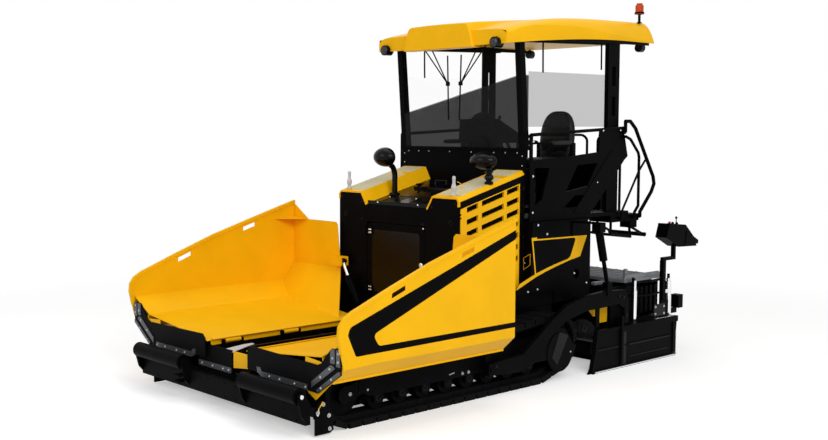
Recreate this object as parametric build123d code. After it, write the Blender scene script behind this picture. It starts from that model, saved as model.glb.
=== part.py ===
from build123d import *
import math
import os

os.makedirs("parts", exist_ok=True)

# Sizes are in millimetres.  While it is built, the paver stands on z = 0, drives
# towards +X, has its centre line on y = 0, and its operator platform's front wall on
# x = 0.  At the end every piece is moved so that the whole machine is centred in x.

# ---- Driving dimensions -------------------------------------------------------------
GAP = 6.0                      # clearance between pieces that move past each other
SHEET = 8.0                    # hopper and panel plate

# Tracks
FRAME_HALF = 940.0             # outside of the chassis walls
SHOE_WIDTH = 300.0
TRACK_OUTER = FRAME_HALF + 24 + SHOE_WIDTH
SHOE_PITCH = 160.0
SHOE_HEIGHT = 45.0             # rubber pad and its plate
LINK_HEIGHT = 40.0             # chain under the shoes
LINK_WIDTH = 150.0
IDLER_X = 2690.0
IDLER_RADIUS = 285.0           # to the outside of the shoes
SPROCKET_X = -135.0
SPROCKET_Z = 390.0
SPROCKET_RADIUS = 300.0        # to the outside of the shoes
HEEL_X = 128.0                 # where the track leaves the ground at the rear
CARRIER_X = 900.0              # upper carrier roller
CARRIER_TOP = 600.0            # top of the shoes over that roller
ROLLER_RADIUS = 98.0
ROLLER_PITCH = 293.0
ROLLER_COUNT = 8
FIRST_ROLLER_X = 250.0

# Tractor body
BODY_HALF = 1000.0             # outside of the black body sides
HOOD_HALF = 897.0              # outside of the yellow hood sides
HOOD_INNER = 528.0             # inner edge of the yellow hood rails
DECK_HALF = 452.0              # half the width of the black deck between them
RAIL_DEPTH = 90.0
HOOD_FRONT = 958.0             # front face of the firewall
HOOD_TOP_FRONT = 1893.0
HOOD_TOP_REAR = 2129.0
HOOD_BOTTOM = 903.0
DECK_TOP_FRONT = 1770.0        # black deck between the rails
DECK_TOP_REAR = 2000.0
FRAME_BOTTOM = 230.0
FRAME_WALL = 20.0
TUNNEL_HALF = 305.0            # conveyor tunnel, half its width
TUNNEL_ROOF = 720.0
BODY_REAR = -990.0
PLATFORM_TOP = 1640.0
PLATFORM_REAR = -1930.0
PLATFORM_HALF = 960.0

# Hopper
WING_REAR = 1000.0
WING_FRONT = 3085.0
WING_FLOOR_REAR = 1180.0       # the floor starts ahead of the wing cylinders
WING_OUTER = 1650.0            # half the width with both wings open
HINGE_Y = 311.0
HINGE_Z = 559.0
WING_FLOOR_EDGE_Y = WING_OUTER - 289
WING_FLOOR_EDGE_Z = 700.0
WING_SLOPE_TOP = 850.0         # where the inner slope meets the outer wall
WING_BACK_TOP = 1544.0
WING_BACK_FOLD = 1043.0
WING_TOE_X = 1410.0            # front end of the sloping back plate
RIM_RADIUS = 16.0

# Push rollers
PUSH_ROLLER_X = 3251.0
PUSH_ROLLER_Z = 375.0
PUSH_ROLLER_RADIUS = 72.0
PUSH_ROLLER_INNER = 478.0
PUSH_ROLLER_OUTER = 1281.0
BEAM_REAR = 3150.0
BEAM_FRONT = 3205.0
BEAM_BOTTOM = 125.0
BEAM_TOP = 300.0

# Canopy
ROOF_HALF = 938.0
POST_HALF = 915.0

# Screed
TOW_X = 955.0                  # tow point
TOW_Z = 270.0
TOW_ARM_INNER = TRACK_OUTER + 28
TOW_ARM_WIDTH = 46.0
SCREED_FRONT = -1150.0
SCREED_REAR = -2150.0
SCREED_SPLIT = -1640.0         # between the main screed and its extensions
SCREED_HALF = TRACK_OUTER + 6
SCREED_TOP = 450.0
GATE_INNER = TRACK_OUTER + 36
GATE_OUTER = GATE_INNER + 25
WALKWAY_TOP = 900.0
AUGER_X = -790.0
AUGER_Z = 345.0
AUGER_RADIUS = 180.0
AUGER_PITCH = 300.0
AUGER_END = 1245.7

pieces = {}


# ---- Small builders -----------------------------------------------------------------
def prism(outline, start, end, along="y"):
    """An outline pushed from start to end along y (x,z pairs), x (y,z) or z (x,y)."""
    if along == "y":
        corners = [Vector(a, start, b) for a, b in outline]
        push = Vector(0, end - start, 0)
    elif along == "x":
        corners = [Vector(start, a, b) for a, b in outline]
        push = Vector(end - start, 0, 0)
    else:
        corners = [Vector(a, b, start) for a, b in outline]
        push = Vector(0, 0, end - start)
    return Solid.extrude(Face(Wire.make_polygon(corners, close=True)), push)


def block(x0, x1, y0, y1, z0, z1):
    outline = [(x0, z0), (x1, z0), (x1, z1), (x0, z1)]
    return prism(outline, y0, y1)


def rod(start, end, radius):
    start = Vector(*start)
    reach = Vector(*end) - start
    return Solid.make_cylinder(radius, reach.length, Plane(origin=start, z_dir=reach.normalized()))


def rail(points, radius):
    """A bent round rail: straight runs joined by balls."""
    runs = [rod(a, b, radius) for a, b in zip(points[:-1], points[1:])]
    knees = [Solid.make_sphere(radius, Plane(origin=Vector(*p))) for p in points[1:-1]]
    return join(runs + knees)


def join(solids):
    whole = solids[0]
    return whole.fuse(*solids[1:]) if len(solids) > 1 else whole


def loose(solids):
    return Compound(children=[s for s in solids])


def cut(shape, *tools):
    return shape.cut(*tools)


def other_side(shape):
    return shape.mirror(Plane.XZ)


def both(shape):
    return [shape, other_side(shape)]


def put(node, shape):
    pieces[node] = shape


def lerp(x, x0, z0, x1, z1):
    return z0 + (z1 - z0) * (x - x0) / (x1 - x0)


def sheet_strip(points, thickness, start, end, along="y"):
    """A bent sheet: the outline is thickened downwards, or to the left of its run."""
    top = []
    bottom = []
    for i, (a, b) in enumerate(points):
        before = points[max(i - 1, 0)]
        after = points[min(i + 1, len(points) - 1)]
        first = math.atan2(b - before[1], a - before[0]) if i else None
        last = math.atan2(after[1] - b, after[0] - a) if i < len(points) - 1 else None
        first = last if first is None else first
        last = first if last is None else last
        middle = (first + last) / 2
        reach = thickness / max(math.cos((last - first) / 2), 0.3)
        top.append((a, b))
        bottom.append((a + reach * math.sin(middle), b - reach * math.cos(middle)))
    return prism(top + bottom[::-1], start, end, along)


def skin(rings, first=None, last=None):
    """A closed solid over rings of points, in triangles; an end may close on a point."""
    faces = []

    def triangle(a, b, c):
        faces.append(Face(Wire.make_polygon([Vector(*a), Vector(*b), Vector(*c)], close=True)))

    for near, far in zip(rings[:-1], rings[1:]):
        for i in range(len(near)):
            k = (i + 1) % len(near)
            triangle(near[i], near[k], far[k])
            triangle(near[i], far[k], far[i])
    for ring, tip in ((rings[0], first), (rings[-1], last)):
        if tip is None:
            faces.append(Face(Wire.make_polygon([Vector(*p) for p in ring], close=True)))
        else:
            for i in range(len(ring)):
                triangle(ring[i], ring[(i + 1) % len(ring)], tip)
    return Solid(Shell(faces))


def mirrored(half):
    """A full ring from its +y half: the same points again on the other side, backwards."""
    return half + [(x, -y, z) for x, y, z in half[::-1]]


# ---- Tracks -------------------------------------------------------------------------
def track_path(inset):
    """Points round the track at even small steps, inset from the outside of the shoes."""
    idler_r = IDLER_RADIUS - inset
    sprocket_r = SPROCKET_RADIUS - inset
    path = []
    # bottom run, from the heel to below the idler, then round the idler's front
    path.append((HEEL_X, inset))
    for step in range(25):
        turn = math.radians(-90 + step * 180 / 24)
        path.append((IDLER_X + idler_r * math.cos(turn), IDLER_RADIUS + idler_r * math.sin(turn)))
    path.append((CARRIER_X, CARRIER_TOP - inset))
    # the bottom of the sprocket is met on the line that is tangent from the heel
    heel_dx = SPROCKET_X - HEEL_X
    heel_dz = SPROCKET_Z - inset
    heel_distance = math.hypot(heel_dx, heel_dz)
    lean = math.atan2(heel_dz, heel_dx)
    leave = lean + math.pi - math.acos(sprocket_r / heel_distance)
    leave_degrees = math.degrees(leave)
    start_degrees = 87.0
    steps = 24
    for step in range(steps + 1):
        turn = math.radians(start_degrees + step * (leave_degrees - start_degrees) / steps)
        path.append((SPROCKET_X + sprocket_r * math.cos(turn), SPROCKET_Z + sprocket_r * math.sin(turn)))
    return path


def path_length(path):
    closed = path + path[:1]
    return sum(math.dist(a, b) for a, b in zip(closed[:-1], closed[1:]))


def point_along(path, distance):
    closed = path + path[:1]
    for a, b in zip(closed[:-1], closed[1:]):
        run = math.dist(a, b)
        if distance <= run and run > 0:
            share = distance / run
            return (a[0] + share * (b[0] - a[0]), a[1] + share * (b[1] - a[1]))
        distance -= run
    return path[0]


def shoe_outline():
    """The track's outside: every shoe stands out from the chain by its own height."""
    base = track_path(SHOE_HEIGHT)
    total = path_length(base)
    count = round(total / SHOE_PITCH)
    pitch = total / count
    outline = []
    for shoe in range(count):
        start = point_along(base, shoe * pitch + 0.06 * pitch)
        end = point_along(base, shoe * pitch + 0.94 * pitch)
        run = math.dist(start, end)
        normal = ((end[1] - start[1]) / run, -(end[0] - start[0]) / run)
        outline.append(start)
        outline.append((start[0] + normal[0] * SHOE_HEIGHT, start[1] + normal[1] * SHOE_HEIGHT))
        outline.append((end[0] + normal[0] * SHOE_HEIGHT, end[1] + normal[1] * SHOE_HEIGHT))
        outline.append(end)
    return outline


def make_track():
    inner = TRACK_OUTER - SHOE_WIDTH
    middle = TRACK_OUTER - SHOE_WIDTH / 2
    shoe_base = track_path(SHOE_HEIGHT + 14)
    shoes = cut(prism(shoe_outline(), inner, TRACK_OUTER), prism(shoe_base, inner - 1, TRACK_OUTER + 1))
    chain = prism(track_path(SHOE_HEIGHT + 14), middle - LINK_WIDTH / 2, middle + LINK_WIDTH / 2)
    hollow = track_path(SHOE_HEIGHT + 14 + LINK_HEIGHT)
    chain = cut(chain, prism(hollow, middle - LINK_WIDTH, middle + LINK_WIDTH))
    return join([shoes, chain])


track_middle = TRACK_OUTER - SHOE_WIDTH / 2
chain_inside = SHOE_HEIGHT + 14 + LINK_HEIGHT
track = make_track()
put("tracks", loose(both(track)))


def wheel(x, z, radius, half_width, hub):
    body = rod((x, track_middle - half_width, z), (x, track_middle + half_width, z), radius)
    return join([body, rod((x, track_middle - hub, z), (x, track_middle + hub, z), radius * 0.42)])


def make_track_frame():
    inner = track_middle - 70
    outer = track_middle + 70
    cover = TRACK_OUTER + 4
    roller_z = chain_inside + ROLLER_RADIUS + 1
    last_x = FIRST_ROLLER_X + ROLLER_PITCH * (ROLLER_COUNT - 1)
    beam = prism([(60, 330), (150, 300), (last_x + 60, 300), (last_x + 60, 440), (150, 470), (60, 470)], inner, outer)
    solids = [beam]
    for index in range(ROLLER_COUNT):
        x = FIRST_ROLLER_X + ROLLER_PITCH * index
        solids.append(wheel(x, roller_z, ROLLER_RADIUS, 56, 88))
        for side in (-1, 1):
            y = track_middle + side * 80
            solids.append(block(x - 52, x + 52, y - 14, y + 14, roller_z - 40, 340))
    # a plate outside the rollers hides their upper halves
    solids.append(prism([(300, 232), (2400, 232), (2540, 290), (2540, 430), (300, 465)], inner + 162, inner + 174))
    # idler with its yoke, and the tensioner between yoke and beam
    solids.append(wheel(IDLER_X, IDLER_RADIUS, IDLER_RADIUS - chain_inside - 1, 45, 100))
    for side in (-1, 1):
        y = track_middle + side * 86
        yoke = [(last_x + 20, 330), (IDLER_X - 60, 220), (IDLER_X + 55, 215), (IDLER_X + 55, 345), (last_x + 20, 425)]
        solids.append(prism(yoke, y - 13, y + 13))
    # front scraper
    solids.append(prism([(IDLER_X + 40, 230), (IDLER_X + 57, 240), (IDLER_X + 57, 330), (IDLER_X + 40, 330)],
                        track_middle - 99, track_middle + 99))
    # sprocket, drive drum and the carrier roller
    solids.append(wheel(SPROCKET_X, SPROCKET_Z, SPROCKET_RADIUS - chain_inside - 1, 38, 60))
    solids.append(rod((SPROCKET_X, FRAME_HALF, SPROCKET_Z), (SPROCKET_X, cover + 12, SPROCKET_Z), 150))
    solids.append(prism([(SPROCKET_X - 40, 300), (200, 300), (200, 470), (SPROCKET_X - 40, 480)], inner, inner + 20))
    # round cover over the final drive, and the guard plate before it
    solids.append(rod((SPROCKET_X, cover, 295), (SPROCKET_X, cover + 20, 295), 205))
    solids.append(prism([(560, 240), (0, 232), (-200, 150), (-300, 380), (-121, 505), (60, 500), (300, 430), (560, 350)],
                        cover, cover + 12))
    solids.append(wheel(CARRIER_X, CARRIER_TOP - chain_inside - 46, 42, 56, 70))
    solids.append(block(CARRIER_X - 30, CARRIER_X + 30, inner, inner + 12, 430, 480))
    # cross tubes that tie the frame to the chassis
    for x in (500.0, 1400.0, 2200.0):
        solids.append(block(x - 60, x + 60, FRAME_HALF, inner, 330, 430))
    return join(solids)


track_frame = make_track_frame()
put("track_frames", loose(both(track_frame)))


# ---- Chassis and hopper tunnel ------------------------------------------------------
TUNNEL_FLOOR = 322.0
CONVEYOR_FRONT = 2905.0
CONVEYOR_REAR = -520.0
CHASSIS_FRONT = 3040.0


def make_main_frame():
    solids = []
    for side in (-1, 1):
        # tunnel walls carry the wing hinges; outer chassis walls carry the tracks
        solids.append(prism([(-560, 200), (CHASSIS_FRONT, 200), (CHASSIS_FRONT, 535), (HOOD_FRONT, 535),
                             (HOOD_FRONT, TUNNEL_ROOF), (-560, TUNNEL_ROOF)],
                            *sorted((side * TUNNEL_HALF, side * (TUNNEL_HALF - FRAME_WALL)))))
        solids.append(prism([(-420, FRAME_BOTTOM), (2520, FRAME_BOTTOM), (2520, 535), (HOOD_FRONT, 535),
                             (HOOD_FRONT, TUNNEL_ROOF), (-420, TUNNEL_ROOF)],
                            *sorted((side * FRAME_HALF, side * (FRAME_HALF - FRAME_WALL)))))
    solids.append(block(CONVEYOR_REAR + 36, CONVEYOR_FRONT - 36, -TUNNEL_HALF, TUNNEL_HALF, TUNNEL_FLOOR - 20, TUNNEL_FLOOR))
    solids.append(block(-560, HOOD_FRONT, -FRAME_HALF, FRAME_HALF, TUNNEL_ROOF, TUNNEL_ROOF + 15))
    for x in (-400, 500, 1400, 2200, 2460):
        solids.append(block(x - 30, x + 30, -FRAME_HALF + 5, -TUNNEL_HALF, FRAME_BOTTOM, 480))
        solids.append(block(x - 30, x + 30, TUNNEL_HALF, FRAME_HALF - 5, FRAME_BOTTOM, 480))
    # dividing ridge between the two conveyors
    solids.append(prism([(-560, TUNNEL_FLOOR), (CHASSIS_FRONT, TUNNEL_FLOOR), (CHASSIS_FRONT, 420), (2860, 545),
                         (HOOD_FRONT, 545), (HOOD_FRONT, TUNNEL_ROOF), (-560, TUNNEL_ROOF)], -18, 18))
    # front cross tube, deflector plates before the tracks, pivot bracket for the push beam
    solids.append(block(CHASSIS_FRONT - 60, CHASSIS_FRONT, -1272, 1272, 235, 295))
    for side in (-1, 1):
        solids.append(prism([(2885, 40), (2925, 15), (3085, 15), (3085, 225), (3035, 300), (2950, 300)],
                            *sorted((side * (TRACK_OUTER + 7), side * (TRACK_OUTER + 23)))))
    solids.append(block(CHASSIS_FRONT - 5, 3120, -70, 70, 150, 186))
    solids.append(block(CHASSIS_FRONT - 40, CHASSIS_FRONT, -310, 310, 150, 240))
    solids.append(rod((BEAM_PIVOT_X, 0, 160), (BEAM_PIVOT_X, 0, 250), 18))
    for side in (-1, 1):
        # hinge pins of the wings, each held at both ends
        for x in HINGE_PLACES:
            solids.append(rod((x - 118, side * HINGE_Y, HINGE_Z), (x + 118, side * HINGE_Y, HINGE_Z), 12))
            for end in (-105, 105):
                solids.append(block(x + end - 9, x + end + 9, *sorted((side * (TUNNEL_HALF - FRAME_WALL), side * (HINGE_Y + 14))),
                                    500, HINGE_Z + 13))
        # tow point: a guide plate outside the track, carried over it from the chassis
        solids.append(block(906, 990, *sorted((side * (FRAME_HALF - 5), side * (TRACK_OUTER + 20))), 618, 690))
        solids.append(block(915, 994, *sorted((side * (TRACK_OUTER + 4), side * (TRACK_OUTER + 20))), 190, 690))
        solids.append(rod((TOW_X, side * 1270, TOW_Z), (TOW_X, side * 1344, TOW_Z), 22))
    return join(solids)


BEAM_PIVOT_X = 3090.0
HINGE_PLACES = (1300.0, 2100.0, 2800.0)
put("main_frame", make_main_frame())


def make_conveyor(y0, y1):
    """A chain loop on each side of the channel, with slats between the chains."""
    z_top = TUNNEL_FLOOR + 38
    z_bottom = TUNNEL_FLOOR - 58
    middle = (z_top + z_bottom) / 2
    radius = (z_top - z_bottom) / 2
    front = [(CONVEYOR_FRONT + radius * math.cos(math.radians(a)), middle + radius * math.sin(math.radians(a)))
             for a in range(90, -91, -20)]
    rear = [(CONVEYOR_REAR + radius * math.cos(math.radians(a)), middle + radius * math.sin(math.radians(a)))
            for a in range(270, 89, -20)]
    outer = front + rear
    inner = [(x, middle + (z - middle) * (radius - 22) / radius) for x, z in outer]
    inner = [(min(max(x, CONVEYOR_REAR - radius + 22), CONVEYOR_FRONT + radius - 22), z) for x, z in inner]
    solids = []
    for y in (y0, y1 - 26):
        solids.append(cut(prism(outer, y, y + 26), prism(inner, y - 1, y + 27)))
    for x in (CONVEYOR_REAR, CONVEYOR_FRONT):
        solids.append(rod((x, 18, middle), (x, TUNNEL_HALF - FRAME_WALL, middle), 22))
        for y in (y0, y1 - 26):
            solids.append(rod((x, y + 5, middle), (x, y + 21, middle), radius - 15))
    x = CONVEYOR_REAR + 60
    while x < CONVEYOR_FRONT - 20:
        solids.append(block(x - 22, x + 22, y0 + 20, y1 - 20, z_top - 20, z_top + 8))
        x += 290.0
    return join(solids)


conveyor = make_conveyor(26, TUNNEL_HALF - FRAME_WALL - 8)
put("conveyors", loose(both(conveyor)))

front_plate = prism([(60, 380), (300, 410), (303, 534), (60, 534)], CHASSIS_FRONT, CHASSIS_FRONT + 10, "x")
put("hopper_front_plate", front_plate)

# ---- Engine bay: firewall, door, hood ------------------------------------------------
DOOR_LEFT = 426.0
DOOR_RIGHT = -446.0
DOOR_BOTTOM = 745.0
DOOR_TOP = 1580.0
FIREWALL_THICK = 20.0
DOOR_AXIS_X = 972.0
DOOR_AXIS_Y = -454.0
DOOR_HINGES = (870.0, 1480.0)


def hood_top(x):
    return lerp(x, HOOD_FRONT, HOOD_TOP_FRONT, 19.0, HOOD_TOP_REAR)


def deck_top(x):
    return lerp(x, HOOD_FRONT, DECK_TOP_FRONT, 0.0, DECK_TOP_REAR)


def firewall_plate():
    half = [(890, TUNNEL_ROOF + 15), (890, 1846), (861, 1880), (534, 1880), (450, DECK_TOP_FRONT - 12)]
    return prism(half + [(-y, z) for y, z in half[::-1]], HOOD_FRONT - FIREWALL_THICK, HOOD_FRONT, "x")


def make_firewall():
    wall = firewall_plate()
    hole = block(HOOD_FRONT - 50, HOOD_FRONT + 50, DOOR_RIGHT, DOOR_LEFT, DOOR_BOTTOM, DOOR_TOP)
    lower = block(HOOD_FRONT, HOOD_FRONT + 18, -890, -330, 545, DOOR_BOTTOM - GAP)
    pins = []
    for z in DOOR_HINGES:
        pins.append(rod((DOOR_AXIS_X, DOOR_AXIS_Y, z - 52), (DOOR_AXIS_X, DOOR_AXIS_Y, z + 52), 8))
        for end in (-46, 46):
            pins.append(block(HOOD_FRONT, DOOR_AXIS_X + 8, DOOR_AXIS_Y - 10, DOOR_AXIS_Y + 8, z + end - 6, z + end + 6))
    return join([cut(wall, hole), lower, other_side(lower)] + pins)




def make_door():
    y0 = DOOR_RIGHT + GAP
    y1 = DOOR_LEFT - GAP
    z0 = DOOR_BOTTOM + GAP
    z1 = DOOR_TOP - GAP
    r = 60.0
    outline = [(y0, z0), (y1, z0), (y1, z1 - r), (y1 - r * 0.3, z1 - r * 0.3), (y1 - r, z1),
               (y0 + r, z1), (y0 + r * 0.3, z1 - r * 0.3), (y0, z1 - r)]
    straps = []
    for z in DOOR_HINGES:
        strap = join([rod((DOOR_AXIS_X, DOOR_AXIS_Y, z - 38), (DOOR_AXIS_X, DOOR_AXIS_Y, z + 38), 13),
                      block(HOOD_FRONT + 2, HOOD_FRONT + 12, DOOR_AXIS_Y, DOOR_RIGHT + 90, z - 38, z + 38),
                      block(HOOD_FRONT - 4, HOOD_FRONT + 12, DOOR_RIGHT + GAP + 4, DOOR_RIGHT + 90, z - 38, z + 38)])
        straps.append(cut(strap, rod((DOOR_AXIS_X, DOOR_AXIS_Y, z - 60), (DOOR_AXIS_X, DOOR_AXIS_Y, z + 60), 8 + 0.4)))
    return join([prism(outline, HOOD_FRONT - 14, HOOD_FRONT - 2, "x")] + straps)


put("firewall_door", make_door())
put("engine_block", block(60, 820, -360, 360, TUNNEL_ROOF + 15, 1450))

LOUVRE_COLUMNS = [(851.0, 690.0), (635.0, 308.0), (263.0, 79.0)]
LOUVRE_TOP = 1849.0
LOUVRE_PITCH = 120.0
LOUVRE_HEIGHT = 55.0
LOUVRE_ROWS = 7
LIFTING_PIN = (915.0, 780.0, 1916.0)   # foot of the near pin
LIFTING_PIN_LENGTH = 110.0
HOOD_SLOPE = (HOOD_TOP_REAR - HOOD_TOP_FRONT) / (HOOD_FRONT - 19.0)


def hood_rail(x):
    """The yellow rail's section: outer face, chamfer, flat top, and a slope down to the deck."""
    top = hood_top(x)
    deck = deck_top(x)
    return [(x, HOOD_HALF, top - RAIL_DEPTH), (x, HOOD_HALF, top - 34), (x, HOOD_HALF - 31, top), (x, HOOD_INNER, top),
            (x, DECK_HALF, deck), (x, DECK_HALF, deck - 14), (x, DECK_HALF + 12, deck - 14), (x, HOOD_INNER + 10, top - 16),
            (x, HOOD_HALF - 38, top - 16), (x, HOOD_HALF - 20, top - 36), (x, HOOD_HALF - 20, top - RAIL_DEPTH)]


def make_hood():
    rear = 0.0
    front = HOOD_FRONT - FIREWALL_THICK
    side = prism([(rear, HOOD_BOTTOM), (front, HOOD_BOTTOM), (front, hood_top(front) - RAIL_DEPTH),
                  (rear, hood_top(rear) - RAIL_DEPTH)], HOOD_HALF - 20, HOOD_HALF)
    slots = []
    for row in range(LOUVRE_ROWS):
        for front, back in LOUVRE_COLUMNS:
            z_front = LOUVRE_TOP + (520 - front) * HOOD_SLOPE - row * LOUVRE_PITCH
            z_back = LOUVRE_TOP + (520 - back) * HOOD_SLOPE - row * LOUVRE_PITCH
            h = LOUVRE_HEIGHT / 2
            slots.append(prism([(front, z_front - h), (front, z_front + h), (back, z_back + h), (back, z_back - h)],
                               HOOD_HALF - 40, HOOD_HALF + 20))
    side = cut(side, *slots)
    rail_top = cut(skin([hood_rail(HOOD_FRONT + 7), hood_rail(rear)]), firewall_plate())
    x, y, foot = LIFTING_PIN
    collar = rod((x, y, foot - 35), (x, y, foot), 26)
    pin = rod((x, y, foot), (x, y, foot + LIFTING_PIN_LENGTH), 12)
    return join([side, rail_top, collar, pin])


hood = make_hood()
put("hood_sides", loose(both(hood)))


def make_hood_deck():
    x0 = HOOD_FRONT - FIREWALL_THICK
    x1 = 0.0
    plate = prism([(x0, deck_top(x0)), (x1, deck_top(x1)), (x1, deck_top(x1) - 12), (x0, deck_top(x0) - 12)],
                  -DECK_HALF, DECK_HALF)
    lip = block(x0 - 16, x0, -DECK_HALF, DECK_HALF, DECK_TOP_FRONT - 6, DECK_TOP_FRONT + 32)
    holes = [block(640, 860, y - 130, y + 130, 1700, 2100) for y in (-210, 210)]
    plate = cut(plate, *holes)
    grilles = []
    for y in (-210, 210):
        for step in range(6):
            x = 660 + step * 36
            grilles.append(prism([(x, deck_top(x) - 2), (x + 14, deck_top(x + 14) - 2),
                                  (x + 14, deck_top(x + 14) - 10), (x, deck_top(x) - 10)], y - 131, y + 131))
    hatch = prism([(380, deck_top(380) + 25), (130, deck_top(130) + 25), (130, deck_top(130) - 1), (380, deck_top(380) - 1)],
                  -330, 330)
    handle = rail([(300, -80, deck_top(300) + 20), (290, -80, deck_top(300) + 75), (290, 80, deck_top(300) + 75),
                   (300, 80, deck_top(300) + 20)], 9)
    return join([plate, lip, hatch, handle] + grilles)


put("hood_deck", make_hood_deck())


def make_dome(face, half_y, half_z, depth):
    """An oval mirror head: a flat glass at the rear and a domed shell in front of it."""
    around = 20
    rings = []
    for share in (0.0, 0.35, 0.62, 0.82, 0.94):
        size = math.sqrt(1 - share ** 2)
        rings.append([(face[0] + share * depth, face[1] + half_y * size * math.cos(2 * math.pi * k / around),
                       face[2] + half_z * size * math.sin(2 * math.pi * k / around)) for k in range(around)])
    return skin(rings, last=(face[0] + depth, face[1], face[2]))


def make_mirrors():
    far_foot = prism([(560, deck_top(560)), (650, deck_top(650)), (650, deck_top(650) + 30), (560, deck_top(560) + 30)],
                     -436, -346)
    far_arm = rail([(605, -391, deck_top(605) + 20), (605, -391, 2060), (640, -391, 2160), (745, -391, 2225)], 30)
    far_head = make_dome((738, -391, 2258), 148, 104, 120)
    near_foot = prism([(445, hood_top(445)), (515, hood_top(515)), (515, hood_top(515) + 25), (445, hood_top(445) + 25)],
                      812, 882)
    near_stem = rod((480, 847, hood_top(480) + 10), (480, 847, 2230), 28)
    near_head = make_dome((478, 783, 2243), 165, 89, 130)
    return loose([join([far_foot, far_arm, far_head]), join([near_foot, near_stem, near_head])])


put("mirrors", make_mirrors())

# ---- Body, platform -----------------------------------------------------------------
def make_body():
    outline = [(BODY_REAR, 869), (-101, 869), (HOOD_FRONT - FIREWALL_THICK, 869), (HOOD_FRONT - FIREWALL_THICK, HOOD_BOTTOM - 1),
               (5, HOOD_BOTTOM - 1), (0, HOOD_BOTTOM), (-20, 1600), (BODY_REAR, 1600)]
    wall = prism(outline, BODY_HALF - 15, BODY_HALF)
    shelf = block(-420, HOOD_FRONT - FIREWALL_THICK, FRAME_HALF - 20, BODY_HALF - 15, TUNNEL_ROOF + 15, TUNNEL_ROOF + 30)
    skirt = block(-420, HOOD_FRONT - FIREWALL_THICK, BODY_HALF - 30, BODY_HALF - 15, TUNNEL_ROOF + 15, 880)
    front = block(-15, 0, HOOD_HALF + 1, BODY_HALF - 15, 880, 1600)
    rear = block(BODY_REAR, BODY_REAR + 15, 0, BODY_HALF - 15, 869, 1600)
    floor = block(BODY_REAR, -420, 0, BODY_HALF, 855, 870)
    stand = block(-440, -410, 0, FRAME_HALF - 20, TUNNEL_ROOF + 15, 870)
    rear_skirt = block(BODY_REAR, -390, BODY_HALF - 15, BODY_HALF, 745, 870)
    half = join([wall, shelf, skirt, front, rear, floor, stand, rear_skirt])
    return join([half, other_side(half)])


put("platform_wall", join([prism([(-890, 1600), (890, 1600), (915, 2340), (-915, 2340)], -20, 0, "x"),
                           block(-60, 20, -915, 915, 2340, 2362)]))


def make_side_panel():
    outline = [(-21, PLATFORM_TOP), (-21, 2500), (-60, 2500), (-60, 2240), (-594, 2262), (-1164, 2306), (-1190, 2566),
               (-1612, 2566), (-1698, 2253), (-1330, 2000), (-1074, 1700), (-1020, PLATFORM_TOP)]
    plate = prism(outline, PLATFORM_HALF - 20, PLATFORM_HALF)
    holes = [[(-209, 1825), (-330, 2150), (-90, 2160), (-90, 1760)],
             [(-800, 2173), (-1149, 2187), (-979, 1942), (-603, 1892)],
             [(-760, 1850), (-960, 1850), (-960, 1720), (-560, 1720)]]
    plate = cut(plate, *[prism(h, PLATFORM_HALF - 40, PLATFORM_HALF + 20) for h in holes])
    return join([plate, rail([(-36, PLATFORM_HALF - 10, 2497), (-1612, PLATFORM_HALF - 10, 2566)], 18)])


side_panel = make_side_panel()
put("side_panels", loose(both(side_panel)))
put("console", join([prism([(-250, 2404), (-262, 2665), (-320, 2665), (-656, 2511), (-640, 2404)], -260, 260),
                     block(-420, -260, -240, 240, PLATFORM_TOP, 2410)]))


SEAT_X = -730.0
SEAT_Y = 560.0
SEAT_PIVOT_Z = 2060.0


def make_seat_base(y):
    return join([block(-900, -560, y - 170, y + 170, PLATFORM_TOP - 5, PLATFORM_TOP + 60),
                 rod((SEAT_X, y, PLATFORM_TOP + 60), (SEAT_X, y, SEAT_PIVOT_Z), 95)])


def make_seat(y):
    cushion = block(-960, -480, y - 205, y + 205, 2120, 2246)
    back = prism([(-975, 2120), (-860, 2120), (-940, 2759), (-1030, 2759)], y - 208, y + 208)
    arms = [block(-900, -560, y + side * 232 - 25, y + side * 232 + 25, 2380, 2430) for side in (-1, 1)]
    stays = [block(-960, -900, y + side * 232 - 22, y + side * 232 + 22, 2180, 2430) for side in (-1, 1)]
    turntable = rod((SEAT_X, y, SEAT_PIVOT_Z + 0.3), (SEAT_X, y, 2090), 120)
    plate = block(-930, -520, y - 215, y + 215, 2085, 2120)
    return join([turntable, plate, cushion, back] + arms + stays)




def make_folding_step():
    """The folded access step: two bent arms and two links under the platform's rear."""
    solids = []
    for y in (470.0, 905.0):
        solids.append(rail([(-1480, y, 1530), (-1480, y, 1400), (-1850, y, 1335), (-1815, y, 1530)], 15))
        solids.append(rod((-1826, y, 1460), (-2100, y, 1345), 15))
    solids.append(rod((-2100, 440, 1345), (-2100, 935, 1345), 24))
    solids.append(rod((-1850, 460, 1335), (-1850, 915, 1335), 17))
    return solids


def make_platform():
    deck = block(PLATFORM_REAR + 200, -20, -PLATFORM_HALF, PLATFORM_HALF, 1600, PLATFORM_TOP)
    steps = both(block(PLATFORM_REAR, -1401, 420, PLATFORM_HALF, 1521, 1600))
    lamp_boxes = both(block(PLATFORM_REAR + 5, -1800, 800, 940, 1440, 1530))
    locker = block(-1725, -1560, -700, 700, PLATFORM_TOP - 5, 2186)
    seats = [make_seat_base(SEAT_Y), make_seat_base(-SEAT_Y)]
    return join([deck, locker] + steps + lamp_boxes + seats + make_folding_step())


platform = make_platform()
put("platform_deck", platform)
put("seat_left", make_seat(SEAT_Y))
put("seat_right", make_seat(-SEAT_Y))

# ---- Canopy ------------------------------------------------------------------------
LINING = 3545.0


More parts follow.
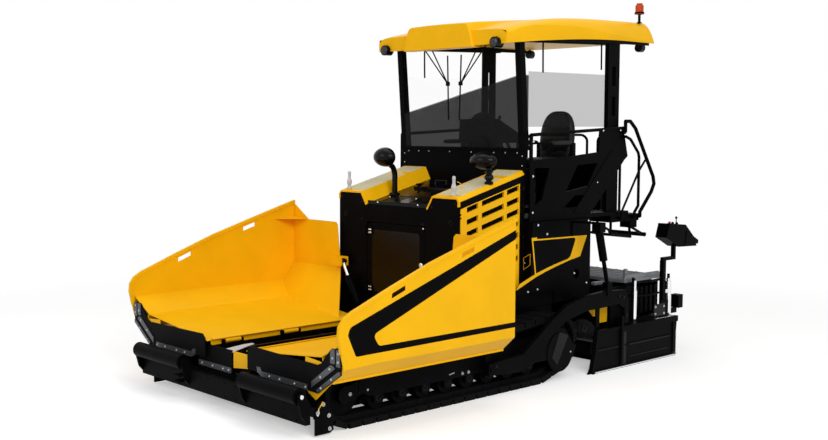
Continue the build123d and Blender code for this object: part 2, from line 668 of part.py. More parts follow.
def make_posts():
    front = prism([(-70, 2362), (12, 2362), (95, 3440), (20, 3440)], 830, 900)
    rear = prism([(-1356, PLATFORM_TOP), (-1356, 3480), (-1558, 3490), (-1558, PLATFORM_TOP)], 880, 930)
    slots = [block(-1490, -1424, 870, 950, z, z + 210) for z in (2700, 3030)]
    rear = cut(rear, *slots)
    beam = prism([(95, 3440), (20, 3440), (-1600, 3480), (-1600, LINING), (200, LINING), (200, 3480)], 840, 890)
    return join([front, rear, beam])


posts = make_posts()
put("canopy_posts", loose(both(posts)))
windshield = prism([(0, 2362), (10, 2362), (92, 3430), (82, 3430)], -830, 830)
glass = prism([(-52.1, 2580), (-4.7, 3148), (-1400, 3148), (-1400, 2580)], 872, 880)
put("cab_glass", loose([windshield, glass, other_side(glass)]))


def make_wiper(side):
    """Two links hang from the roof's front edge and carry an upright blade at their ends."""
    elbow = (104, side * 95, 3040)
    links = [rod((104, side * y, 3436), elbow, 7) for y in (350, 460)]
    bar = rod((104, side * 320, 3436), (104, side * 490, 3436), 11)
    lug = block(96, 112, *sorted((side * 70, side * 118)), 3020, 3062)
    blade = rod((104, side * 100, 3345), (104, side * 80, 2655), 8)
    feet = [block(96, 112, *sorted((side * (y - 14), side * (y + 14))), 3430, WIPER_TOP) for y in (340, 470)]
    return join(links + [bar, lug, blade] + feet)


WIPER_TOP = LINING
put("wipers", loose([make_wiper(1), make_wiper(-1)]))

# Stations from front to rear: x, underside, crease on the side, edge of the top, raised middle
ROOF_STATIONS = [(362.0, 3418.0, 3482.0, 3540.0, 3638.0),
                 (250.0, 3438.0, 3505.0, 3586.0, 3662.0),
                 (-16.0, 3470.0, 3548.0, 3636.0, 3684.0),
                 (-491.0, 3502.0, 3600.0, 3694.0, 3724.0),
                 (-1200.0, 3522.0, 3652.0, 3742.0, 3768.0),
                 (-2161.0, 3531.0, 3690.0, 3768.0, 3781.0)]
ROOF_REAR_LEAN = 0.2           # the rear end leans out at its foot

LAMP_Y = 806.0
LAMP_Z = 3425.0
LAMP_RADIUS = 56.0


def roof_ring(station):
    x, foot, crease, edge, crown = ROOF_STATIONS[station]
    half = [(ROOF_HALF, foot), (ROOF_HALF, crease), (ROOF_HALF - 12, crease + 16), (ROOF_HALF - 14, edge - 34),
            (ROOF_HALF - 40, edge), (462, edge + 4), (436, lerp(0.8, 0, edge, 1, crown)), (404, crown), (150, crown + 4)]
    if station == 0:
        places = [x - 26, x - 26, x - 26, x - 26, x - 8, x, x + 14, x + 2, x + 8]
    elif station == len(ROOF_STATIONS) - 1:
        places = [x + (3781.0 - z) * -ROOF_REAR_LEAN for _, z in half]
    else:
        places = [x] * len(half)
    return mirrored([(place, y, z) for place, (y, z) in zip(places, half)])


def make_roof():
    rings = [roof_ring(i) for i in range(len(ROOF_STATIONS))]
    shell = skin(rings, first=(374, 0, 3500), last=(-2190, 0, 3640))
    cavity = [(250, 3380), (316, 3500), (230, 3549), (-100, 3606), (-491, 3658), (-1200, 3706),
              (-2130, 3734), (-2170, 3480), (-1400, 3440), (-662, 3400)]
    shell = cut(shell, prism(cavity, -ROOF_HALF + 34, ROOF_HALF - 34))
    lining = block(-2120, 210, -ROOF_HALF + 33, ROOF_HALF - 33, LINING, LINING + 8)
    seats = [rod((240, y, LAMP_Z), (420, y, LAMP_Z), LAMP_RADIUS + 6) for y in (-LAMP_Y, LAMP_Y)]
    return cut(join([shell, lining]), *seats)


roof = make_roof()
put("roof", roof)
lamps = []
for y in (-LAMP_Y, LAMP_Y):
    lamps.append(join([rod((290, y, LAMP_Z), (386, y, LAMP_Z), LAMP_RADIUS),
                       block(320, 345, y - 6, y + 6, LAMP_Z, LAMP_Z + LAMP_RADIUS + 5.6)]))
    lamps.append(join([rod((-2080, y, 3480), (-2145, y, 3480), 50), block(-2115, -2095, y - 10, y + 10, 3500, LINING)]))
put("lamps", loose(lamps))
beacon = join([rod((-2040, 840, 3750), (-2040, 840, 3850), 14), rod((-2040, 840, 3850), (-2040, 840, 3872), 52),
               rod((-2040, 840, 3872), (-2040, 840, 3952), 46), rod((-2040, 840, 3952), (-2040, 840, 3975), 34)])
put("beacon", cut(beacon, roof))
REAR_RAIL_Y = 992.0
STEP_REAR = -1905.0


def make_handrail():
    """A long rail from the rear post down to the step, a shorter one inside it, and a stay."""
    y = REAR_RAIL_Y
    outer = rail([(-1600, y, 2515), (-1600, y, 2640), (-1690, y, 2640), (-1790, y, 2560), (-2150, y, 2010),
                  (-2170, y, 1930), (-2120, y, 1840), (STEP_REAR, y, 1620), (STEP_REAR, y, 1560)], 20)
    inner = rail([(-1615, y, 2470), (-1700, y, 2440), (-1850, y, 2290), (-1868, y, 2240), (-1868, y, 1690),
                  (-1800, y, 1620), (-1800, y, 1560)], 16)
    stay = rail([(-2010, y, 2224), (-1868, y, 2080), (-1560, y, 1640), (-1560, y, 1560)], 12)
    lugs = [block(x - 16, x + 16, PLATFORM_HALF, y, z - 16, z + 16)
            for x, z in ((-1600, 2515), (-1615, 2470), (STEP_REAR, 1565), (-1800, 1565), (-1560, 1565))]
    return join([outer, inner, stay] + lugs)


put("handrails", loose(both(make_handrail())))

# ---- Hopper wings --------------------------------------------------------------------
def rim_height(x):
    table = [(WING_REAR, 1747.0), (1500.0, 1604.0), (2116.0, 1423.0), (2600.0, 1250.0), (2936.0, 1123.0), (3000.0, 1100.0)]
    for (x0, z0), (x1, z1) in zip(table[:-1], table[1:]):
        if x <= x1:
            return lerp(x, x0, z0, x1, z1)
    return 1100.0


WING_SLOTS = [(2560.0, 2400.0), (1717.0, 1558.0)]


def wing_floor(y):
    return lerp(y, HINGE_Y, HINGE_Z + 26, WING_FLOOR_EDGE_Y, WING_FLOOR_EDGE_Z)


def make_wing():
    outline = [(WING_REAR, 707), (WING_FRONT, 628), (3118, 760), (3148, 900), (3140, 985), (3090, 1050), (3000, 1100),
               (2936, 1123), (2600, 1250), (2116, 1423), (1500, 1604), (WING_REAR, 1747)]
    wall = prism(outline, WING_OUTER - SHEET, WING_OUTER)
    slots = []
    for front, back in WING_SLOTS:
        drop = 62.0
        slots.append(prism([(front, rim_height(front) - drop), (front, rim_height(front) - drop - 45),
                            (back, rim_height(back) - drop - 45), (back, rim_height(back) - drop)],
                           WING_OUTER - 40, WING_OUTER + 20))
    wall = cut(wall, *slots)
    # the rim is a round tube along the wall's top and down its front
    rim = sheet_strip(outline[2:][::-1], 2 * RIM_RADIUS, WING_OUTER - SHEET / 2 - RIM_RADIUS, WING_OUTER - SHEET / 2 + RIM_RADIUS)
    floor = sheet_strip([(HINGE_Y + 2, wing_floor(HINGE_Y)), (WING_FLOOR_EDGE_Y, WING_FLOOR_EDGE_Z),
                         (WING_OUTER - SHEET, WING_SLOPE_TOP)], SHEET, WING_FLOOR_REAR, WING_FRONT, "x")
    under = prism([(WING_OUTER - 1, 707), (WING_OUTER - 1, 640), (WING_OUTER - 150, 500),
                   (WING_OUTER - 250, 560), (WING_OUTER - 275, 694), (WING_OUTER - 267, 694),
                   (WING_OUTER - 242, 566), (WING_OUTER - 150, 512), (WING_OUTER - SHEET, 648),
                   (WING_OUTER - SHEET, 707)],
                  WING_REAR, WING_FRONT, "x")
    back = prism([(WING_OUTER - 2, 1720), (WING_OUTER - 274, WING_BACK_TOP), (900, WING_BACK_TOP),
                  (872, 1515), (822, WING_BACK_FOLD),
                  (WING_OUTER - 2, WING_BACK_FOLD)], WING_REAR, WING_REAR + SHEET, "x")
    corners = [Vector(WING_REAR + 3, 826, WING_BACK_FOLD + 6),
               Vector(WING_REAR + 3, WING_OUTER - 4, WING_BACK_FOLD + 6),
               Vector(1280, WING_OUTER - 4, 800), Vector(WING_TOE_X, WING_FLOOR_EDGE_Y, 660), Vector(WING_TOE_X, 384, 566)]
    normal = (corners[1] - corners[0]).cross(corners[4] - corners[0]).normalized()
    flat = [c - normal * ((c - corners[0]).dot(normal)) for c in corners]
    slope = Solid.extrude(Face(Wire.make_polygon(flat, close=True)), normal * SHEET)
    gusset = prism([(WING_REAR, WING_OUTER - 274), (WING_REAR, WING_OUTER - 2), (1300, WING_OUTER - 2)],
                   WING_BACK_TOP, WING_BACK_TOP + SHEET, "z")
    # a lip hangs from the floor's inner edge, and a bar stiffens the lower edge of the underside
    lip = block(WING_FLOOR_REAR, CHASSIS_FRONT - 10, HINGE_Y + 23, HINGE_Y + 31, 505, wing_floor(HINGE_Y + 27) - 3)
    bar = block(WING_REAR, WING_FRONT, WING_OUTER - 164, WING_OUTER - 136, 492, 512)
    # front frame under the floor, with a drop plate outside the track
    nose = prism([(WING_OUTER - 495, 390), (WING_OUTER - 362, 321), (WING_OUTER, 628), (WING_OUTER, 660),
                  (WING_OUTER - 150, 640), (WING_OUTER - 495, 668)],
                 WING_FRONT - SHEET, WING_FRONT, "x")
    # hinge knuckles and the cylinder's fork
    knuckles = []
    for x in HINGE_PLACES:
        knuckles.append(cut(join([rod((x - 90, HINGE_Y, HINGE_Z), (x + 90, HINGE_Y, HINGE_Z), 20),
                                  block(x - 90, x + 90, HINGE_Y - 4, HINGE_Y + 30, HINGE_Z, HINGE_Z + 14)]),
                            rod((x - 121, HINGE_Y, HINGE_Z), (x + 121, HINGE_Y, HINGE_Z), 12.4)))
    ears = [block(x, x + 8, 700, 880, 1085, 1180) for x in (WING_REAR, WING_REAR + 92)]
    ears.append(block(WING_REAR, WING_REAR + 100, 800, 880, 1160, 1180))
    return join([wall, rim, floor, under, back, slope, gusset, nose, lip, bar] + knuckles + ears)


wing = make_wing()
put("hopper_wing_left", wing)
put("hopper_wing_right", other_side(wing))


def apron_line(corners):
    """Corners given as the distance in from the wing's outer side and the height."""
    return [(WING_OUTER - inwards, height) for inwards, height in corners]


APRON_OUTLINE = [(341, 436), (352, 424), (500, 424), (560, 390)]
APRON_OUTLINE += apron_line([(455, 390), (320, 385), (25, 585), (25, 790), (138, 790), (155, 778), (270, 649), (325, 623)])
APRON_OUTLINE += [(384, 640), (341, 598)]
APRON_STRIPS = [[(490, 474), (540, 474), (562, 442)] + apron_line([(452, 442), (452, 392)]) + [(566, 392), (500, 426)],
                apron_line([(394, 424), (394, 476), (150, 652), (120, 652), (90, 630), (105, 620)]),
                apron_line([(315, 392), (332, 416), (50, 612), (30, 612), (30, 585)]),
                apron_line([(150, 668), (94, 668), (94, 788), (138, 788), (150, 770)]),
                apron_line([(76, 650), (28, 650), (28, 788), (76, 788)])]
APRON_FACE = WING_FRONT + 12
apron = prism(APRON_OUTLINE, WING_FRONT, APRON_FACE, "x")
put("wing_apron_left", apron)
put("wing_apron_right", other_side(apron))
strips = loose([prism(outline, APRON_FACE, APRON_FACE + 8, "x") for outline in APRON_STRIPS])
put("apron_strips_left", strips)
put("apron_strips_right", loose([other_side(prism(outline, APRON_FACE, APRON_FACE + 8, "x")) for outline in APRON_STRIPS]))
put("centre_apron", block(CHASSIS_FRONT, CHASSIS_FRONT + 10, -513, 36, 333, 538))

# ---- Push rollers --------------------------------------------------------------------
TOW_PIN_BORE = 15.0


def make_push_beam():
    beam = block(BEAM_REAR, BEAM_FRONT, -1300, 1300, BEAM_BOTTOM, BEAM_TOP)
    eye = cut(join([rod((3090, 0, 192), (3090, 0, 232), 45), block(3090, BEAM_REAR + 5, -45, 45, 192, 232)]),
              rod((3090, 0, 180), (3090, 0, 240), 18.4))
    brackets = []
    for y in (PUSH_ROLLER_INNER - 30, PUSH_ROLLER_OUTER + 8):
        cheek = [(BEAM_FRONT - 10, BEAM_BOTTOM + 20), (BEAM_FRONT + 40, 200), (PUSH_ROLLER_X + 35, 345),
                 (PUSH_ROLLER_X + 35, 400), (PUSH_ROLLER_X - 30, 410), (BEAM_FRONT - 40, BEAM_TOP)]
        plate = cut(prism(cheek, y, y + 22), rod((PUSH_ROLLER_X, y - 5, PUSH_ROLLER_Z), (PUSH_ROLLER_X, y + 30, PUSH_ROLLER_Z), 20.4))
        brackets += both(plate)
    hook = cut(join([block(BEAM_FRONT - 1, 3305, -570, -484, 180, 196), block(BEAM_FRONT - 1, 3305, -570, -484, 236, 252)]),
               rod((3262, -527, 170), (3262, -527, 262), TOW_PIN_BORE))
    return join([beam, eye, hook] + brackets)


put("push_beam", make_push_beam())
roller = join([rod((PUSH_ROLLER_X, PUSH_ROLLER_INNER, PUSH_ROLLER_Z), (PUSH_ROLLER_X, PUSH_ROLLER_OUTER, PUSH_ROLLER_Z), PUSH_ROLLER_RADIUS),
               rod((PUSH_ROLLER_X, PUSH_ROLLER_INNER - 34, PUSH_ROLLER_Z), (PUSH_ROLLER_X, PUSH_ROLLER_OUTER + 34, PUSH_ROLLER_Z), 20)])
put("push_roller_left", roller)
put("push_roller_right", other_side(roller))


# ---- Cylinders -----------------------------------------------------------------------
PIN_PLAY = 0.4
CYLINDER_PIN = 13.0


def make_barrel(eye, tip, length, radius, bore, eye_radius, half_width, along, pin):
    """A hollow barrel from its eye towards the rod's eye."""
    eye = Vector(*eye)
    way = (Vector(*tip) - eye).normalized()
    start = eye + way * (eye_radius * 0.8)
    end = eye + way * length
    side = Vector(*along)
    shell = rod(tuple(start), tuple(end), radius)
    lug = rod(tuple(eye - side * half_width), tuple(eye + side * half_width), eye_radius)
    hole = rod(tuple(start + way * 30), tuple(end + way * 5), bore)
    pin_hole = rod(tuple(eye - side * (half_width + 5)), tuple(eye + side * (half_width + 5)), pin + PIN_PLAY)
    return cut(join([shell, lug]), hole, pin_hole)


def make_rod_end(eye, tip, reach, radius, eye_radius, half_width, along):
    eye = Vector(*eye)
    tip = Vector(*tip)
    way = (tip - eye).normalized()
    side = Vector(*along)
    shaft = rod(tuple(tip - way * reach), tuple(tip), radius)
    lug = rod(tuple(tip - side * half_width), tuple(tip + side * half_width), eye_radius)
    return join([shaft, lug])


WING_CYLINDER_X = 1050.0
WING_CYLINDER_FOOT = (WING_CYLINDER_X, 470.0, 676.0)
WING_CYLINDER_HEAD = (WING_CYLINDER_X, 730.0, 1133.0)
barrel = make_barrel(WING_CYLINDER_FOOT, WING_CYLINDER_HEAD, 350, 36, 18.5, 34, 36, (1, 0, 0), CYLINDER_PIN)
put("wing_barrel_left", barrel)
put("wing_barrel_right", other_side(barrel))
ram = make_rod_end(WING_CYLINDER_FOOT, WING_CYLINDER_HEAD, 430, 18, 30, 30, (1, 0, 0))
put("wing_rod_left", ram)
put("wing_rod_right", other_side(ram))
foot = join([block(x, x + 14, 430, 510, 560, 705) for x in (WING_CYLINDER_X - 52, WING_CYLINDER_X + 38)]
            + [block(HOOD_FRONT + 18, WING_CYLINDER_X + 52, 430, 510, 545, 575),
               rod((WING_CYLINDER_X - 50, *WING_CYLINDER_FOOT[1:]), (WING_CYLINDER_X + 50, *WING_CYLINDER_FOOT[1:]), CYLINDER_PIN)])
put("firewall", join([make_firewall()] + both(foot)))

# ---- Augers --------------------------------------------------------------------------
def make_auger():
    """A shaft with a flat-faceted screw flight."""
    steps_per_turn = 14
    start_y = 75.0
    length = AUGER_END - start_y - 16
    steps = int(steps_per_turn * length / AUGER_PITCH)
    inner = 30.0
    half = 7.0

    def ring(step, radius, shift):
        turn = 2 * math.pi * step / steps_per_turn
        y = start_y + AUGER_PITCH * step / steps_per_turn + shift
        return Vector(AUGER_X + radius * math.cos(turn), y, AUGER_Z + radius * math.sin(turn))

    faces = []

    def triangle(a, b, c):
        faces.append(Face(Wire.make_polygon([a, b, c], close=True)))

    def quad(a, b, c, d):
        triangle(a, b, c)
        triangle(a, c, d)

    for step in range(steps):
        a0, a1 = ring(step, inner, half), ring(step, AUGER_RADIUS, half)
        b0, b1 = ring(step + 1, inner, half), ring(step + 1, AUGER_RADIUS, half)
        c0, c1 = ring(step, inner, -half), ring(step, AUGER_RADIUS, -half)
        d0, d1 = ring(step + 1, inner, -half), ring(step + 1, AUGER_RADIUS, -half)
        quad(a0, a1, b1, b0)
        quad(c0, d0, d1, c1)
        quad(a1, c1, d1, b1)
        quad(a0, b0, d0, c0)
    first = [ring(0, inner, half), ring(0, inner, -half), ring(0, AUGER_RADIUS, -half), ring(0, AUGER_RADIUS, half)]
    last = [ring(steps, inner, half), ring(steps, AUGER_RADIUS, half), ring(steps, AUGER_RADIUS, -half),
            ring(steps, inner, -half)]
    quad(*first)
    quad(*last)
    flight = Solid(Shell(faces))
    shaft = rod((AUGER_X, 60.3, AUGER_Z), (AUGER_X, AUGER_END, AUGER_Z), 45)
    return join([shaft, flight])


auger = make_auger()
put("auger_left", auger)
put("auger_right", other_side(auger))
auger_mount = (join([block(AUGER_X - 70, AUGER_X + 70, -60, 60, AUGER_Z - 70, 855)]
                        + both(block(AUGER_X - 30, AUGER_X + 30, 1246, 1262, AUGER_Z - 60, 720))
                        + both(block(AUGER_X - 30, AUGER_X + 30, 700, 1262, 720, 760))
                        + both(block(AUGER_X - 30, AUGER_X + 30, 700, 760, 760, 855))))
guard = prism([(AUGER_X + 25, 720), (AUGER_X - 30, 720), (-1090, 655), (-1090, 480), (-960, 480), (-960, 560), (-850, 560),
               (AUGER_X + 25, 640)], 1150, 1160)
put("auger_guards", loose(both(guard)))

# ---- Screed --------------------------------------------------------------------------
def make_tow_arms():
    outline = [(TOW_X + 45, TOW_Z - 50), (TOW_X + 45, TOW_Z + 60), (500, 362), (70, 641), (-166, 769), (-493, 839),
               (-834, 858), (-1189, 835), (-1230, 700), (-1230, 480), (-1160, 480), (-1160, 640), (-1050, 697),
               (-834, 687), (-493, 681), (-166, 614), (70, 488), (465, 200), (560, 194)]
    arm = prism(outline, TOW_ARM_INNER, TOW_ARM_INNER + TOW_ARM_WIDTH)
    arm = cut(arm, rod((TOW_X, 1260, TOW_Z), (TOW_X, 1340, TOW_Z), 22.4))
    ears = [block(SCREED_TOW_PIN[0] - 40, SCREED_TOW_PIN[0] + 40, y, y + 10, 800, 945)
            for y in (TOW_ARM_INNER - 10, TOW_ARM_INNER + TOW_ARM_WIDTH)]
    tie = block(-1230, -1160, 1200, TOW_ARM_INNER + 5, SCREED_TOP, 520)
    return join([arm, tie] + ears)


LIFT_PLANE = TOW_ARM_INNER + TOW_ARM_WIDTH / 2
SCREED_TOW_PIN = (-874.0, LIFT_PLANE, 905.0)


def make_screed():
    body = prism([(SCREED_FRONT, 60), (SCREED_FRONT + 20, 12), (SCREED_SPLIT + GAP, 12), (SCREED_SPLIT + GAP, SCREED_TOP),
                  (SCREED_FRONT, SCREED_TOP)], -SCREED_HALF, SCREED_HALF)
    hollow = block(SCREED_SPLIT + 26, SCREED_FRONT - 14, -SCREED_HALF + 15, SCREED_HALF - 15, 70, SCREED_TOP - 12)
    body = cut(body, hollow)
    posts = [block(x, x + 50, y - 25, y + 25, SCREED_TOP, WALKWAY_TOP - 60) for x in (-1300, -1600) for y in (-900, -300, 300, 900)]
    slides = [block(SCREED_SPLIT + 0.4, SCREED_SPLIT + GAP + 2, -SCREED_HALF, SCREED_HALF, z, z + 60) for z in (120, 330)]
    spindles = both(rod((-1520, 1200, SCREED_TOP - 5), (-1520, 1200, 909), 16))
    tubes = both(rod((-1478, 1215, SCREED_TOP - 5), (-1478, 1215, 930), 15))
    solids = [body] + posts + slides + spindles + tubes + both(make_tow_arms())
    # plates that close the space between the screed and its walkway
    box = block(-1596, -1190, -1130, 1130, SCREED_TOP - 1, WALKWAY_TOP - 62)
    solids.append(cut(box, block(-1584, -1202, -1118, 1118, SCREED_TOP - 5, WALKWAY_TOP)))
    rear_box = block(-2080, -1590, -1130, 1130, SCREED_TOP + 12, WALKWAY_TOP - 62)
    solids.append(cut(rear_box, block(-2068, -1600, -1118, 1118, SCREED_TOP + 24, WALKWAY_TOP)))
    return join(solids)


put("screed", make_screed())
walk = block(-2120, -1400, -1160, 1160, WALKWAY_TOP - 30, WALKWAY_TOP)
walk_ends = both(prism([(-1400, WALKWAY_TOP), (-2120, WALKWAY_TOP), (-2060, WALKWAY_TOP + 50), (-1420, WALKWAY_TOP + 50)],
                       1140, 1150))
stubs = both(rod((-1498, 1100, WALKWAY_TOP - 5), (-1498, 1100, 1011), 22))
cross = [block(-2100, -1180, y - 25, y + 25, WALKWAY_TOP - 60, WALKWAY_TOP - 30) for y in (-900, -300, 300, 900)]
put("walkway", join([walk] + cross + walk_ends + stubs))


def make_extension():
    box = prism([(SCREED_SPLIT, 40), (SCREED_SPLIT - 15, 12), (SCREED_REAR, 12), (SCREED_REAR, SCREED_TOP), (SCREED_SPLIT, SCREED_TOP)],
                12, GATE_INNER)
    box = cut(box, block(SCREED_REAR + 15, SCREED_SPLIT - 15, 30, GATE_INNER - 15, 70, SCREED_TOP - 12))
    gate = prism([(-675, 449), (-640, 230), (-600, 60), (-584, 28), (-560, 0), (-2139, 0), (-2182, 404), (-2160, 449)], GATE_INNER, GATE_OUTER)
    post = join([block(-2040, -1900, 1222, 1302, SCREED_TOP, 470), block(-2040, -1900, 1286, 1298, 470, 640),
                 block(-1995, -1945, 1240, 1290, 470, 1083), block(-2190, -1945, 1245, 1285, 1083, 1120),
                 block(-2190, -2150, 1245, 1285, 1083, 1300)])
    desk = prism([(-1990, 1500), (-2310, 1472), (-2500, 1310), (-2540, 1215), (-2180, 1228), (-1935, 1345)], 1180, 1330)
    flaps = [prism([(-2330, 1400), (-2568, 1280), (-2560, 1240), (-2300, 1245)], y, y + 6) for y in (1174, 1330)]
    ribs = [block(-1136, -1100, GATE_OUTER - 5, GATE_OUTER + 24, 12, 560),
            block(-2180, -1136, GATE_OUTER - 5, GATE_OUTER + 16, 385, 448),
            block(-1100, -680, GATE_OUTER - 5, GATE_OUTER + 12, 424, 448),
            block(-2060, -1180, GATE_OUTER - 5, GATE_OUTER + 10, 226, 248),
            block(-1100, -650, GATE_OUTER - 5, GATE_OUTER + 10, 226, 248),
            block(-2130, -2090, GATE_OUTER - 5, GATE_OUTER + 14, 40, 385),
            block(-2120, -600, GATE_OUTER - 5, GATE_OUTER + 24, 0, 24)]
    front_edge = prism([(-690, 448), (-655, 230), (-615, 60), (-600, 12), (-640, 12), (-690, 230), (-722, 448)],
                       GATE_OUTER - 5, GATE_OUTER + 14)
    spindle = rod((-2185, 1200, 300), (-2185, 1200, 909), 16)
    lug = block(-2215, SCREED_REAR, 1170, 1230, 380, 420)
    rear_box = join([block(-2570, -2480, 1050, 1150, 476, 630), block(-2500, SCREED_REAR, 1085, 1115, 420, 480)])
    return join([box, gate, post, desk, front_edge, spindle, lug, rear_box] + flaps + ribs)


extension = make_extension()
put("extension_left", extension)
put("extension_right", other_side(extension))

LIFT_TOP = (-705.0, LIFT_PLANE, 1520.0)
barrel = make_barrel(LIFT_TOP, SCREED_TOW_PIN, 350, 42, 22.5, 40, 42, (0, 1, 0), CYLINDER_PIN)
put("lift_barrel_left", barrel)
put("lift_barrel_right", other_side(barrel))
ram = make_rod_end(LIFT_TOP, SCREED_TOW_PIN, 336, 22, 32, 18, (0, 1, 0))
put("lift_rod_left", ram)
put("lift_rod_right", other_side(ram))
cheeks = [block(LIFT_TOP[0] - 45, LIFT_TOP[0] + 45, LIFT_PLANE + side * 49 - 5, LIFT_PLANE + side * 49 + 5,
                LIFT_TOP[2] - 35, LIFT_TOP[2] + 66) for side in (-1, 1)]
bracket = join(cheeks + [block(LIFT_TOP[0] - 45, LIFT_TOP[0] + 45, BODY_HALF, LIFT_PLANE + 54, LIFT_TOP[2] + 48, LIFT_TOP[2] + 66),
                         block(LIFT_TOP[0] - 45, LIFT_TOP[0] + 45, BODY_HALF, BODY_HALF + 14, LIFT_TOP[2] - 80, LIFT_TOP[2] + 66),
                         rod((LIFT_TOP[0], LIFT_PLANE - 50, LIFT_TOP[2]), (LIFT_TOP[0], LIFT_PLANE + 50, LIFT_TOP[2]), CYLINDER_PIN)])
put("body_shell", join([make_body(), auger_mount] + both(bracket)))

# ---- Write every piece, centred in x ------------------------------------------------
lows = [shape.bounding_box().min.X for shape in pieces.values()]
highs = [shape.bounding_box().max.X for shape in pieces.values()]
centre_x = (min(lows) + max(highs)) / 2
floor_z = min(shape.bounding_box().min.Z for shape in pieces.values())
shift = Location((-centre_x, 0, -floor_z))
for node, shape in pieces.items():
    export_step(shape.moved(shift), "parts/" + node + ".step")
print("pieces", len(pieces), "centre", round(centre_x, 3), "floor", round(floor_z, 3))
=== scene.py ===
import math

import bmesh
import bpy
from mathutils import Matrix, Vector


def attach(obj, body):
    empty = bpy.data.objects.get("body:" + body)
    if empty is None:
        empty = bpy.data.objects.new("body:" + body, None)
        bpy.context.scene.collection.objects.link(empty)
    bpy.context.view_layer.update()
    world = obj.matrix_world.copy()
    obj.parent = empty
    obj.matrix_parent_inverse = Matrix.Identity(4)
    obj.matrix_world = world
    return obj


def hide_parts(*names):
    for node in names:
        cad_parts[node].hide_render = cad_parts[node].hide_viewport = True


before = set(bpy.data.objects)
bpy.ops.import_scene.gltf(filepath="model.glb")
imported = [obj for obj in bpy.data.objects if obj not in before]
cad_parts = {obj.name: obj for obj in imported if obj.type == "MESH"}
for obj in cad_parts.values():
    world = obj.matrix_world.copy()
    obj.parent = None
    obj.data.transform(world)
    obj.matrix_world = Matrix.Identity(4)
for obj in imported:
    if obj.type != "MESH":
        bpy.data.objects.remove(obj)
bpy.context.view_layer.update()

# Every place below is in millimetres from the operator platform's front wall, with +X the
# direction of travel, +Y the machine's left and z = 0 the ground.  SHIFT (in metres) moves
# it to the row's own frame, which is centred in x.
SHIFT = -0.3765
TO_ROW = Matrix.Translation((SHIFT, 0, 0)) @ Matrix.Scale(0.001, 4)

HOOD_HALF = 897.0
BODY_HALF = 1000.0
WING_OUTER = 1650.0
APRON_FACE = 3105.0
SIDES = (("left", 1), ("right", -1))
FORWARD = (1, 0, 0)
REARWARD = (-1, 0, 0)
LEFT = (0, 1, 0)
UP = (0, 0, 1)
PAINT_BACK = 0.5               # how far a stripe reaches into the sheet behind it
PAINT_PROUD = 1.4              # and how far it stands out
HOOD_SLOPE = 0.25133
DECK_SLOPE = 0.24008
ROUGH_VARY = 0.05


# ---- Materials ----------------------------------------------------------------------
def noise_node(tree, coords, scale, detail):
    node = tree.nodes.new("ShaderNodeTexNoise")
    node.inputs["Scale"].default_value = scale
    node.inputs["Detail"].default_value = detail
    tree.links.new(coords.outputs["Object"], node.inputs["Vector"])
    return node


def new_material(name, base, rough, metal=0.0, coat=0.0, vary=0.06, scale=14.0, bump=0.0, grain=900.0,
                 dust=0.0, alpha=1.0, sheen=0.0, specular=0.5):
    """A painted, moulded or metal surface: broad colour variation, fine bump, dust low down."""
    mat = bpy.data.materials.new(name)
    mat.use_nodes = True
    tree = mat.node_tree
    shader = tree.nodes["Principled BSDF"]
    coords = tree.nodes.new("ShaderNodeTexCoord")
    broad = noise_node(tree, coords, scale, 6.0)
    ramp = tree.nodes.new("ShaderNodeValToRGB")
    low = [max(0.0, c * (1 - vary)) for c in base]
    high = [min(1.0, c * (1 + vary)) for c in base]
    ramp.color_ramp.elements[0].position = 0.3
    ramp.color_ramp.elements[1].position = 0.7
    ramp.color_ramp.elements[0].color = (*low, 1)
    ramp.color_ramp.elements[1].color = (*high, 1)
    tree.links.new(broad.outputs["Fac"], ramp.inputs["Fac"])
    colour = ramp.outputs["Color"]
    if dust:
        split = tree.nodes.new("ShaderNodeSeparateXYZ")
        tree.links.new(coords.outputs["Object"], split.inputs["Vector"])
        height = tree.nodes.new("ShaderNodeMapRange")
        height.inputs["From Max"].default_value = 0.7
        height.inputs["To Min"].default_value = dust
        height.inputs["To Max"].default_value = 0.0
        tree.links.new(split.outputs["Z"], height.inputs["Value"])
        speck = tree.nodes.new("ShaderNodeMath")
        speck.operation = "MULTIPLY"
        tree.links.new(height.outputs["Result"], speck.inputs[0])
        tree.links.new(broad.outputs["Fac"], speck.inputs[1])
        mix = tree.nodes.new("ShaderNodeMix")
        mix.data_type = "RGBA"
        tree.links.new(speck.outputs["Value"], mix.inputs["Factor"])
        tree.links.new(colour, mix.inputs["A"])
        mix.inputs["B"].default_value = (0.12, 0.115, 0.11, 1)
        colour = mix.outputs["Result"]
    tree.links.new(colour, shader.inputs["Base Color"])
    spread = tree.nodes.new("ShaderNodeMapRange")
    spread.inputs["To Min"].default_value = max(0.02, rough - ROUGH_VARY)
    spread.inputs["To Max"].default_value = min(1.0, rough + ROUGH_VARY)
    tree.links.new(broad.outputs["Fac"], spread.inputs["Value"])
    tree.links.new(spread.outputs["Result"], shader.inputs["Roughness"])
    shader.inputs["Metallic"].default_value = metal
    shader.inputs["Coat Weight"].default_value = coat
    shader.inputs["Coat Roughness"].default_value = 0.08
    shader.inputs["Specular IOR Level"].default_value = specular
    shader.inputs["Alpha"].default_value = alpha
    shader.inputs["Sheen Weight"].default_value = sheen
    if bump:
        fine = noise_node(tree, coords, grain, 3.0)
        raised = tree.nodes.new("ShaderNodeBump")
        raised.inputs["Strength"].default_value = bump
        raised.inputs["Distance"].default_value = 0.001
        tree.links.new(fine.outputs["Fac"], raised.inputs["Height"])
        tree.links.new(raised.outputs["Normal"], shader.inputs["Normal"])
    return mat


